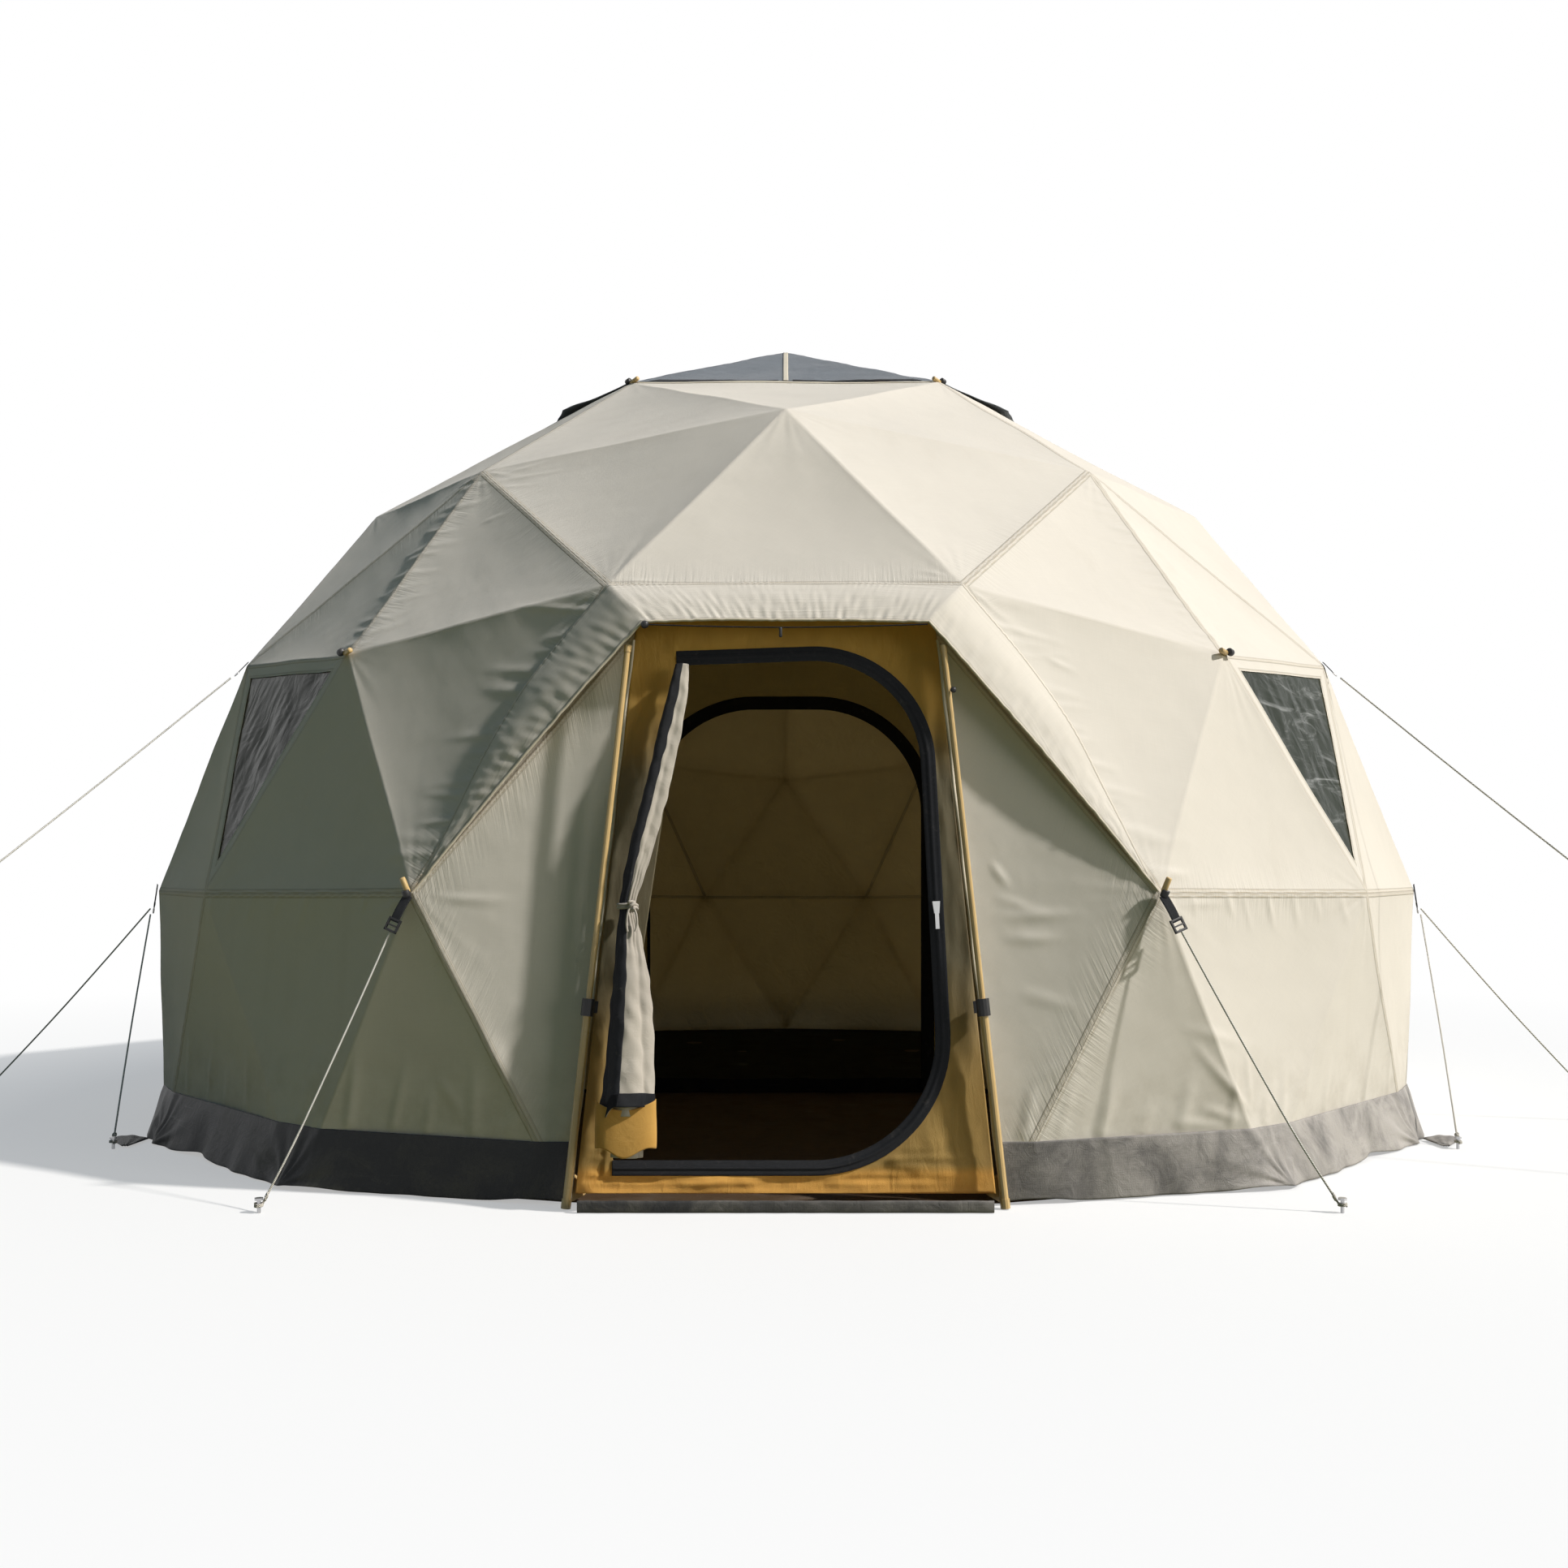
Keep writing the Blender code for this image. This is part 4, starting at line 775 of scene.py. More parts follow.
def twisted_rope(name, colour):
    """Pale braided cord, slightly soiled."""
    look = Look(name)
    x, y, z = look.parts(look.place)
    twist = look.plus(look.times(z, 1500.0), look.times(look.plus(x, y), 900.0))
    braid = look.math("SINE", twist)
    base = look.tinted(look.tinted(colour, look.noise(12.0, 5.0), 0.16), look.range(braid, -1.0, 1.0), 0.20)
    low = look.range(z, 0.0, 0.16, 0.35, 0.0)
    base = look.mix(low, base, (0.25, 0.20, 0.14))
    return look.finish(base, 0.85, look.bump(braid, 0.0006, 0.8))


CANVAS = sewn_canvas("cream canvas", (0.765, 0.720, 0.650), (0.46, 0.36, 0.22))
HEM = soft_fabric("cream binding", (0.62, 0.56, 0.45), pitch=0.0009)
SKIRT = coated_fabric("charcoal coated fabric", (0.026, 0.027, 0.030), roughness=0.46, shine=0.15,
                      sunlit_side_paint=0.85)
CAP = mesh_fabric("slate mesh")
DOOR = door_fabric("mustard door fabric")
FLAP = soft_fabric("taupe flap fabric", (0.46, 0.42, 0.365), (0.38, 0.345, 0.30), crease=0.004)
MUSTARD = soft_fabric("mustard lining", (0.62, 0.36, 0.09), (0.52, 0.28, 0.06), through=0.15)
TAPE = tape_fabric("black zip tape", (0.014, 0.015, 0.018))
FILM = clear_film("dark window film")
LINING = lining_fabric("sand lining")
ROOM_LINING = lining_fabric("sand lining, plain", taped=False)
FLOOR = coated_fabric("brown groundsheet", (0.070, 0.044, 0.025), dusty=0.15, roughness=0.6, shine=0.15)
# Near-black: partly the inner floor's own dark colour and partly painted shade deep inside the room.
DARK_FLOOR = coated_fabric("black floor fabric with painted shade", (0.010, 0.010, 0.011), dusty=0.06, roughness=0.7,
                           shine=0.08)
POLE = hard_finish("tan pole", (0.56, 0.39, 0.17), 0.34, wear=(0.62, 0.52, 0.36), grain=(1.0, 1.0, 0.05),
                   coat=0.3)
PLASTIC = hard_finish("black plastic", (0.020, 0.020, 0.021), 0.42, wear=(0.07, 0.07, 0.07))
ROPE = twisted_rope("pale rope", (0.66, 0.64, 0.60))
STEEL = hard_finish("grey steel", (0.46, 0.46, 0.47), 0.34, 1.0, wear=(0.30, 0.24, 0.18))
PULL = hard_finish("pale zip pull", (0.62, 0.62, 0.62), 0.30, 0.8, wear=(0.4, 0.4, 0.4))


def dress(obj, material, body="tent", nodes=()):
    obj.data.materials.append(material)
    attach(obj, body)
    if nodes:
        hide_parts(*nodes)
    return obj


# Poles, locks, pegs and slider keep their own shape

FINISHES = {"pole": POLE, "black_plastic": PLASTIC, "peg_steel": STEEL, "zip_pull": PULL}

for node in frame["nodes"].values():
    for slot in node.material_slots:
        slot.material = FINISHES.get(slot.material.name, slot.material)


# Guy lines

SIDES = {"right": 1, "left": -1}
LINE_DIAMETER = 0.005
FRONT_SHIFT = 0.034
LINE_ROUTES = {
    "front": ((0.9195, -1.9910, 0.6385), (0.9925, -2.0152, 0.4770), (1.0675, -2.0402, 0.3150),
              (1.1425, -2.0652, 0.1570), (1.2160, -2.0895, 0.0180)),
    "ear": ((2.0940, -0.6970, 0.6550), (2.0500, -0.8505, 0.4905), (2.0050, -1.0040, 0.3300),
            (1.9570, -1.1585, 0.1725), (1.9065, -1.3140, 0.0200)),
    "side": ((2.1000, -0.6840, 0.6750), (2.2300, -0.7258, 0.5035), (2.3610, -0.7675, 0.3350),
             (2.4920, -0.8095, 0.1740), (2.6210, -0.8515, 0.0200)),
    "high": ((1.6880, -1.0385, 1.3790), (1.9695, -1.3035, 1.0215), (2.2510, -1.5685, 0.6742),
             (2.5325, -1.8334, 0.3400), (2.8140, -2.0984, 0.0200)),
}
LINE_EXITS = {
    "front": (0.918, -1.9905, 0.642),
    "ear": (2.086, -0.692, 0.668),
    "side": (2.088, -0.680, 0.690),
    "high": (1.674, -1.028, 1.393),
}


def smooth_route(points, count):
    """The cord's centreline through its given points, as in the parts' source."""
    route = [Vector(point) for point in points]
    padded = [2 * route[0] - route[1]] + route + [2 * route[-1] - route[-2]]
    spans = len(route) - 1
    found = []
    for i in range(count):
        along = i * spans / (count - 1)
        span = min(int(along), spans - 1)
        t = along - span
        a, b, c, d = padded[span:span + 4]
        found.append(0.5 * (2 * b + (c - a) * t + (2 * a - 5 * b + 4 * c - d) * t ** 2
                            + (3 * b - a - 3 * c + d) * t ** 3))
    return found


def line_points(key, side):
    shift = side * FRONT_SHIFT if key == "front" else 0.0
    last = len(LINE_ROUTES[key]) - 1
    moved = [(x + shift * i / last, y, z) for i, (x, y, z) in enumerate(LINE_ROUTES[key])]
    return [mirrored(point, side) for point in smooth_route(moved, 14)]


def make_lines():
    for place, side in SIDES.items():
        for key in LINE_ROUTES:
            name = f"guy_line_{key}_{place}"
            points = line_points(key, side)
            line = tube("cord_" + name, points, LINE_DIAMETER / 2, 12)
            dress(line, ROPE, nodes=[name])


make_lines()


# Flysheet

FINE = 112
COARSE = 44
WINDOW_BORDER = 0.045
FLY_BOTTOM = SKIRT_HEIGHT - 0.012


def barycentric(count):
    """Barycentric places of a facet cut into count x count, and its small triangles."""
    rows = [(i, j) for i in range(count + 1) for j in range(count + 1 - i)]
    index = {place: n for n, place in enumerate(rows)}
    places = np.array([(count - i - j, i, j) for i, j in rows], float) / count
    faces = []
    for i, j in rows:
        if i + j < count:
            faces.append((index[i, j], index[i + 1, j], index[i, j + 1]))
        if i + j < count - 1:
            faces.append((index[i + 1, j], index[i + 1, j + 1], index[i, j + 1]))
    return places, np.array(faces)


GRIDS = {count: barycentric(count) for count in (FINE, COARSE)}

FLY_SEAMS = (
    {"collar"}, {"roof_post", "eave_post"}, {"eave"}, {"waist"}, {"collar", "roof_post"}, {"eave", "waist"},
    {"waist", "ground"}, {"porch_top", "waist"}, {"roof_post", "eave"}, {"waist", "waist_mid"},
)
LINER_SEAMS = ({"waist"}, {"waist_mid", "waist"}, {"eave", "waist"}, {"eave"}, {"roof_post", "eave"},
               {"waist_mid", "eave"}, {"waist_mid", "ground"})
NO_SEAM = 1.0
FINE_FROM_Y = -0.35
BEFORE_TENT_Y = -4.0
WELD_STEP = 0.0002


def twice_area(corners):
    return np.linalg.norm(np.cross(corners[1] - corners[0], corners[2] - corners[0]))


def seam_gaps(places, keys, corners, seams):
    """The distance of each place to the facet's three edges; an edge without a seam is far off."""
    gaps = np.zeros_like(places)
    for k in range(3):
        a, b = (k + 1) % 3, (k + 2) % 3
        far = 0.0 if {keys[a][0], keys[b][0]} in seams else NO_SEAM
        gaps[:, k] = places[:, k] * twice_area(corners) / np.linalg.norm(corners[a] - corners[b]) + far
    return gaps


def hung_in(places, depth):
    """How far the cloth hangs in at each place of a facet, with this depth at its middle."""
    return -depth * (27 * places.prod(axis=1)) ** 0.8


class Cloth:
    """A sheet made of flat facets, gathered as arrays and then shaped as one surface."""

    def __init__(self):
        self.parts = []
        self.count = 0

    def add(self, points, normals, sag, faces, uv, gaps):
        corners = faces.ravel()
        self.parts.append((points, normals, sag, faces + self.count, uv[corners], gaps[corners]))
        self.count += len(points)

    def facet(self, keys, count, sag):
        places, faces = GRIDS[count]
        keys = outward(keys)
        corners = np.array([CORNERS[key] for key in keys])
        normals = places @ np.array([NORMALS[key] for key in keys])
        normals /= np.linalg.norm(normals, axis=1)[:, None]
        along = corners[1] - corners[0]
        along /= np.linalg.norm(along)
        flat = np.cross(along, np.cross(corners[1] - corners[0], corners[2] - corners[0]))
        flat /= -np.linalg.norm(flat)
        local = places @ (corners - corners[0])
        uv = np.stack([local @ along, local @ flat], axis=1)
        self.add(places @ corners, normals, hung_in(places, sag), faces, uv,
                 seam_gaps(places, keys, corners, FLY_SEAMS))

    def border(self, keys, count, inset, rows=9):
        """The cloth round a window: three strips between the facet's edges and the pane's."""
        keys = outward(keys)
        corners = np.array([CORNERS[key] for key in keys])
        area = twice_area(corners)
        sides = [np.linalg.norm(corners[(k + 1) % 3] - corners[(k + 2) % 3]) for k in range(3)]
        share = inset * np.array(sides) / area
        inner = np.tile(share, (3, 1)) + np.eye(3) * (1 - share.sum())
        along = np.linspace(0, 1, count + 1)[None, :, None]
        inward = np.linspace(0, 1, rows)[:, None, None]
        squares = grid_faces(rows, count + 1)
        faces = np.concatenate([squares[:, [0, 1, 2]], squares[:, [0, 2, 3]]])
        for k in range(3):
            a, b = (k + 1) % 3, (k + 2) % 3
            edge = (1 - along) * np.eye(3)[a] + along * np.eye(3)[b]
            pane = (1 - along) * inner[a] + along * inner[b]
            places = ((1 - inward) * edge + inward * pane).reshape(-1, 3)
            normals = places @ np.array([NORMALS[key] for key in keys])
            normals /= np.linalg.norm(normals, axis=1)[:, None]
            width = places[:, k] * area / sides[k]
            run = (places @ (corners - corners[a])) @ ((corners[b] - corners[a]) / sides[k])
            gaps = np.stack([np.minimum(width, inset - width + 0.004), width + 1, width + 2], axis=1)
            uv = np.stack([run, width], axis=1)
            self.add(places @ corners, normals, np.zeros(len(places)), faces, uv, gaps)

    def arrays(self):
        """All the points, normals, sags, faces, places on the cut and distances to seams."""
        return [np.concatenate(part) for part in zip(*self.parts)]


def welded(name, points, shaped, faces, cut, gaps):
    """One mesh of the shaped points, joined where their flat places are the same."""
    rounded = np.round(points / WELD_STEP).astype(np.int64)
    _, first, index = np.unique(rounded, axis=0, return_index=True, return_inverse=True)
    made = new_mesh(name, shaped[first], index.reshape(-1)[faces])
    set_uv(made, cut)
    set_seams(made, gaps)
    return made


def in_front(keys):
    return sum(CORNERS[key].y for key in keys) / 3 < FINE_FROM_Y


def onto(place, facets):
    """Where a point (x, height) of the front view falls on the facets, straight back from the front."""
    start, best = Vector((place[0], BEFORE_TENT_Y, place[1])), None
    for keys in facets:
        a, b, c = (CORNERS[key] for key in keys)
        found = geometry.intersect_ray_tri(a, b, c, Vector((0.0, 1.0, 0.0)), start, True)
        if found is not None and (best is None or found.y < best.y):
            best = found
    return best


def noise_waves(points, scale, seed, count=9):
    """Smooth noise of about unit size, as a sum of waves in random directions."""
    rng = np.random.default_rng(seed)
    total = np.zeros(len(points))
    for _ in range(count):
        way = rng.normal(size=3)
        way *= math.tau / (scale * np.linalg.norm(way)) * rng.uniform(0.6, 1.6)
        total += np.sin(points @ way + rng.uniform(0, 6.28))
    return total / math.sqrt(count)


def stroke(points, normals, start, end, width, height, early=0.12):
    """A wrinkle from start to end: a ridge with a shallow valley beside it."""
    start, end = np.array(start), np.array(end)
    way = end - start
    length = np.linalg.norm(way)
    way /= length
    found = np.zeros(len(points))
    near = np.flatnonzero(((points - (start + end) / 2) ** 2).sum(1) < (length / 2 + 4 * width) ** 2)
    if not len(near):
        return found
    offset = points[near] - start
    along = offset @ way / length
    across = np.cross(normals[near], way)
    across /= np.linalg.norm(across, axis=1)[:, None]
    aside = (offset * across).sum(1) / width
    fade = smooth_step(-0.03, early, along) * (1 - smooth_step(0.35, 1.0, along))
    found[near] = height * fade * (1 - 0.9 * aside) * np.exp(-aside ** 2)
    return found


def hub_wrinkles(points, key, height, reach, seed):
    """Fine folds that run out from a hub, where the cloth is pulled tight."""
    centre, axis = np.array(CORNERS[key]), np.array(NORMALS[key])
    rng = np.random.default_rng(seed)
    found = np.zeros(len(points))
    offset = points - centre
    far = np.linalg.norm(offset, axis=1)
    near = np.flatnonzero(far < 3 * reach)
    offset, far = offset[near], far[near]
    side = np.cross(axis, (0.0, 0.0, 1.0))
    side = side / np.linalg.norm(side) if np.linalg.norm(side) > 0.1 else np.array((1.0, 0.0, 0.0))
    up = np.cross(side, axis)
    turn = np.arctan2(offset @ up, offset @ side)
    total = np.zeros(len(near))
    for waves in (9, 14, 19, 25):
        total += rng.uniform(0.4, 1.0) * np.sin(waves * turn + rng.uniform(0, 6.28))
    total *= 0.55 + 0.45 * np.sin(3 * turn + rng.uniform(0, 6.28))
    found[near] = height * total * np.exp(-far / reach) * smooth_step(0.0, 0.06, far)
    return found


def seam_wrinkles(points, normals, start, end, side_way, number, length, width, height, seed, slope=0.35):
    """Short folds that leave a seam on one side of it."""
    rng = np.random.default_rng(seed)
    found = np.zeros(len(points))
    start, end, side_way = np.array(start), np.array(end), np.array(side_way)
    way = (end - start) / np.linalg.norm(end - start)
    for i in range(number):
        at = (i + rng.uniform(0.2, 0.8)) / number
        first = start + (end - start) * at
        turn = slope + rng.uniform(-0.15, 0.15)
        heading = side_way * math.cos(turn) + way * math.sin(turn)
        last = first + heading * length * rng.uniform(0.5, 1.25)
        found += stroke(points, normals, first, last, width * rng.uniform(0.7, 1.3),
                        height * rng.uniform(0.4, 1.1))
    return found


def facet_way(keys_from, keys_to, third):
    """The direction in a facet, square to one edge and towards its third corner."""
    a, b, c = CORNERS[keys_from], CORNERS[keys_to], CORNERS[third]
    along = (b - a).normalized()
    way = (c - a) - along * (c - a).dot(along)
    return way.normalized()


# The larger folds seen in the photograph: from and to (x, height) from the front, width and height
FOLDS = {
    "right anchor": (
        ((0.97, 0.38), (1.17, 0.15), 0.014, 0.0025),
        ((0.93, 0.41), (1.21, 0.33), 0.016, 0.0018),
        ((1.14, 0.36), (1.15, 0.16), 0.013, 0.0022),
        ((1.04, 0.30), (1.16, 0.17), 0.011, 0.0019),
        ((1.00, 0.21), (1.14, 0.16), 0.014, 0.0025),
        ((0.92, 0.18), (1.12, 0.15), 0.013, 0.0020),
    ),
    "left anchor": (
        ((-0.83, 0.30), (-0.74, 0.17), 0.018, 0.0020),
        ((-1.16, 0.34), (-1.16, 0.17), 0.018, 0.0025),
    ),
    "right porch": (
        ((0.48, 0.80), (0.54, 0.73), 0.011, 0.0025),
        ((0.48, 0.72), (0.64, 0.67), 0.011, 0.0019),
        ((0.49, 0.67), (0.74, 0.68), 0.013, 0.0030),
        ((0.50, 0.62), (0.68, 0.62), 0.014, 0.0030),
        ((0.53, 0.50), (0.72, 0.45), 0.018, 0.0020),
        ((0.56, 0.28), (0.70, 0.36), 0.018, 0.0020),
    ),
    "left roof hub": (
        ((-0.84, 1.92), (-0.62, 1.97), 0.010, 0.0018),
        ((-0.83, 1.90), (-0.58, 1.92), 0.010, 0.0016),
        ((-0.84, 1.87), (-0.67, 1.87), 0.010, 0.0016),
        ((-0.86, 1.75), (-0.74, 1.78), 0.010, 0.0016),
    ),
    "left porch": (
        ((-0.85, 0.71), (-0.62, 0.71), 0.011, 0.0020),
        ((-0.85, 0.66), (-0.72, 0.42), 0.016, 0.0018),
        ((-0.72, 0.42), (-0.55, 0.17), 0.023, 0.0025),
    ),
    "left and right wall": (
        ((-1.62, 0.26), (-1.56, 0.17), 0.020, 0.0025),
        ((-1.74, 0.24), (-1.72, 0.17), 0.016, 0.0020),
        ((0.92, 0.70), (1.12, 0.70), 0.011, 0.0020),
    ),
    "right shoulder and front roof": (
        ((1.20, 1.38), (1.02, 1.42), 0.009, 0.0020),
        ((0.41, 1.48), (0.30, 1.51), 0.009, 0.0020),
        ((0.41, 1.475), (0.28, 1.48), 0.009, 0.0020),
        ((-0.41, 1.475), (-0.28, 1.48), 0.009, 0.0020),
        ((0.63, 1.30), (0.73, 1.27), 0.009, 0.0025),
    ),
}


def cloth_waves(points):
    """The canvas's own slight waves, from long ones to short ones."""
    return (0.0016 * noise_waves(points, 0.42, 3) + 0.00028 * noise_waves(points, 0.11, 4)
            + 0.00009 * noise_waves(points, 0.045, 5))


def hub_folds(points):
    """Fine folds round every hub but the crown's, which the vent cap covers."""
    shift = np.zeros(len(points))
    hubs = [key for key in CORNERS if key[0] != "crown" and not on_ground(key) and not on_porch(key)]
    for seed, key in enumerate(hubs, 11):
        shift += hub_wrinkles(points, key, 0.0011, 0.11, seed)
    return shift


def seam_folds(points, normals):
    """Short folds along the seams over the shoulders, beside the porch and above the skirt."""
    shift = np.zeros(len(points))

    def add(*values, **more):
        shift[:] += seam_wrinkles(points, normals, *values, **more)

    for gore in range(GORES):
        post, eave = ("roof_post", gore), ("eave_post", gore)
        for side in (-1, 1):
            way = facet_way(post, eave, ("eave", after(gore) if side > 0 else gore, -side))
            add(CORNERS[post], CORNERS[eave], way, number=13, length=0.15, width=0.012, height=0.0018,
                seed=40 + 2 * gore + side, slope=-0.25)
    for side in (-1, 1):
        high, low = ("eave", 0, side), ("waist", 0, side)
        post, next_gore = (0, 1) if side > 0 else (4, 4)
        way = facet_way(high, low, ("eave_post", post))
        add(CORNERS[high], CORNERS[low], way, number=15, length=0.22, width=0.013, height=0.0026,
            seed=60 + side, slope=0.45)
        add(CORNERS[low], CORNERS["waist", next_gore, -side], (0.0, 0.0, -1.0), number=9, length=0.10,
            width=0.012, height=0.003, seed=70 + side)
    for gore in range(GORES):
        post = ("ground_post", gore)
        for first, last in ((post, ("ground", after(gore), -1)), (("ground", gore, 1), post)):
            a, b = CORNERS[first].copy(), CORNERS[last].copy()
            a.z = b.z = SKIRT_HEIGHT
            add(a, b, (0.0, 0.0, 1.0), number=7, length=0.20, width=0.018, height=0.0034, seed=90 + gore,
                slope=0.2)
    return shift


def shape_flysheet(points, normals, sag, facets):
    shift = sag + cloth_waves(points) + hub_folds(points) + seam_folds(points, normals)
    for folds in FOLDS.values():
        for start, end, width, height in folds:
            first, last = onto(start, facets), onto(end, facets)
            shift += stroke(points, normals, first, last, width, height, early=0.4)
    return points + normals * shift[:, None]


def sag_of(keys):
    """How far the cloth hangs in between the poles, by the facet's place."""
    if any(on_porch(key) for key in keys):
        return 0.006
    low = any(on_ground(key) for key in keys)
    roof = any(key[0].startswith("roof") for key in keys)
    return 0.012 if roof or not low else 0.008


def make_flysheet():
    facets = clothed_facets()
    windows = [keys for keys in dome_facets() if keys not in facets]
    for side in (-1, 1):
        facets += porch_facets(side)
    cloth = Cloth()
    for keys in facets:
        cloth.facet(keys, FINE if in_front(keys) else COARSE, sag_of(keys))
    for side in (-1, 1):
        cloth.border(tuple(sorted(window_facet(side))), FINE, WINDOW_BORDER)
    flat, normals, sag, faces, cut, gaps = cloth.arrays()
    shaped = shape_flysheet(flat, normals, sag, facets + windows)
    low = shaped[:, 2] < SKIRT_HEIGHT - 0.006
    shaped[low, 2] = np.maximum(shaped[low, 2], FLY_BOTTOM)
    kept = flat[faces][:, :, 2].max(axis=1) > FLY_BOTTOM
    corners_kept = np.repeat(kept, 3)
    return welded("flysheet", flat, shaped, faces[kept], cut[corners_kept], gaps[corners_kept])


ROOF_NAMES = ("front", "right", "rear_right", "rear_left", "left")
PANEL_NAMES = ("front_right", "right", "rear", "left", "front_left")

flysheet = make_flysheet()
dress(flysheet, CANVAS,
      nodes=["roof_panel_" + n for n in ROOF_NAMES] + ["shoulder_panel_" + n for n in PANEL_NAMES]
      + ["wall_" + n for n in PANEL_NAMES] + ["porch_wall_left", "porch_wall_right"])


def between(first, last, rows):
    """Rows of points from one line to another with the same number of points."""
    share = np.linspace(0, 1, rows)[:, None, None]
    return (1 - share) * np.asarray(first, float) + share * np.asarray(last, float)


def grid_normals(grid):
    """The sheet's direction at each point of a grid."""
    down = np.gradient(grid, axis=0)
    across = np.gradient(grid, axis=1)
    normal = np.cross(across, down)
    return normal / np.maximum(np.linalg.norm(normal, axis=2), 1e-9)[:, :, None]


def lifted(grid, height):
    """The grid moved along its own normals by a height at each point."""
    return grid + grid_normals(grid) * np.asarray(height)[:, :, None]


def waves_on(grid, scale, seed):
    return noise_waves(grid.reshape(-1, 3), scale, seed).reshape(grid.shape[:2])


def sheet_object(name, grid, material, thickness=0.0015, body="tent", nodes=(), closed=False,
                 inside=None, seams=None):
    """A shown sheet of cloth; its inner side may have its own material, and its points their distances
    to the seams."""
    made = grid_object(name, grid, closed)
    if seams is not None:
        faces = grid_faces(*grid.shape[:2], closed)
        set_seams(made, np.asarray(seams).reshape(-1, 3)[faces.ravel()])
    dress(made, material, body, nodes)
    step = made.modifiers.new("thickness", "SOLIDIFY")
    step.thickness = thickness
    step.offset = 0.0
    if inside:
        made.data.materials.append(inside)
        step.material_offset = 1
    return made


def crossing(points, facets, axis, level):
    """Where the facets' edges cross a level along one axis."""
    found = {}
    for keys in facets:
        for i in range(3):
            pair = tuple(sorted((keys[i], keys[(i + 1) % 3])))
            a, b = points[pair[0]], points[pair[1]]
            if (a[axis] - level) * (b[axis] - level) < 0:
                found[pair] = a.lerp(b, (level - a[axis]) / (b[axis] - a[axis]))
    return list(found.values())


# Awning

AWNING_HALF_WIDTH = 0.335
AWNING_Y = -1.98
AWNING_HEIGHT = 1.357
RIDGE_BULGE = 0.050


def awning_lines():
    """The awning's sewn line, bowed out over the panels beside it, and its free edge."""
    wing, header = ((130, 170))
    corners = {side: Vector((side * AWNING_HALF_WIDTH, AWNING_Y, AWNING_HEIGHT)) for side in (-1, 1)}
    sewn, free = {}, {}
    for side in (-1, 1):
        waist, hub = CORNERS["waist", 0, side], CORNERS["eave", 0, side]
        way = facet_way(("eave", 0, side), ("waist", 0, side), ("eave_post", 0 if side > 0 else 4))
        out = (NORMALS["waist", 0, side] + NORMALS["eave", 0, side]).normalized()
        sewn[side], free[side] = [], []
        for i in range(wing):
            t = i / wing
            bulge = RIDGE_BULGE * math.sin(math.pi * t ** 1.25) ** 1.2
            rise = math.sin(math.pi * t)
            sewn[side].append(waist.lerp(hub, t) + way * bulge + out * 0.003 * rise)
            free[side].append(waist.lerp(corners[side], t) + Vector((0.0, 0.0, 0.012)) * rise)
    for i in range(header + 1):
        t = i / header
        dip = math.sin(math.pi * t)
        hem = CORNERS["eave", 0, -1].lerp(CORNERS["eave", 0, 1], t)
        sewn[-1].append(hem + Vector((0.0, -0.004, 0.004)) * dip)
        free[-1].append(corners[-1].lerp(corners[1], t) + Vector((0.0, 0.006, 0.006)) * dip)
    return np.array(sewn[-1] + sewn[1][::-1]), np.array(free[-1] + free[1][::-1])


def make_awning():
    sewn, free = awning_lines()
    rows = 44
    grid = between(sewn, free, rows)
    down = np.linspace(0, 1, rows)[:, None]
    along = np.linspace(0, 1, grid.shape[1])[None, :]
    wide = np.linalg.norm(sewn - free, axis=1)[None, :]
    height = -0.05 * wide * np.sin(np.pi * down) + 0.0010 * waves_on(grid, 0.22, 21)
    folds = np.stack([along * 9 + 0 * down, down * 0.25 + 0 * along, 0 * along * down], axis=2)
    height += 0.0009 * waves_on(folds, 0.11, 23) * down
    height += 0.0016 * np.sin(along * 900) * np.exp(-down * 9) * (0.4 + 0.6 * waves_on(grid, 0.2, 24))
    grid = lifted(grid, height)
    no_seam = np.full(grid.shape[:2], NO_SEAM)
    seams = np.stack([0.004 + down * wide, 0.006 + (1 - down) * wide, no_seam], axis=2)
    awning = sheet_object("awning_cloth", grid, CANVAS, 0.0016, nodes=["awning"],
                          seams=seams)
    dress(tube("awning_hem", [Vector(p) for p in grid[-1][::3]], 0.0032, 8), HEM)


make_awning()


# Door wall, in its own axes: x across, y up the wall, z out of its face

DOOR_WALL_FOOT_Y = -2.0325
DOOR_WALL_LEAN = 4.78
DOOR_WALL_OUTLINE = ((-0.484, 0.030), (0.484, 0.030), (0.352, 1.41), (-0.352, 1.41))
DOORWAY_MIDDLE = (-0.02, 0.69)
ZIP_TOP_LEFT = (-0.240, 1.285)
ZIP_TOP_RIGHT = (0.325, 1.305)
ZIP_BOTTOM_RIGHT = (0.379, 0.088)
ZIP_BOTTOM_LEFT = (-0.400, 0.088)
ZIP_TOP_RADIUS = 0.27
ZIP_BOTTOM_RADIUS = 0.30
ZIP_WIDTH = 0.035


def door_plane(out=0.0):
    lean = Matrix.Rotation(math.radians(90.0 - DOOR_WALL_LEAN), 4, "X")
    normal = lean.to_3x3() @ Vector((0.0, 0.0, 1.0))
    return Matrix.Translation(Vector((0.0, DOOR_WALL_FOOT_Y, 0.0)) + normal * out) @ lean


def on_door(places):
    """Points given in the door wall's axes, in the shared frame."""
    places = np.asarray(places, float)
    turn = np.array(door_plane().to_3x3())
    return places @ turn.T + np.array(door_plane().translation)


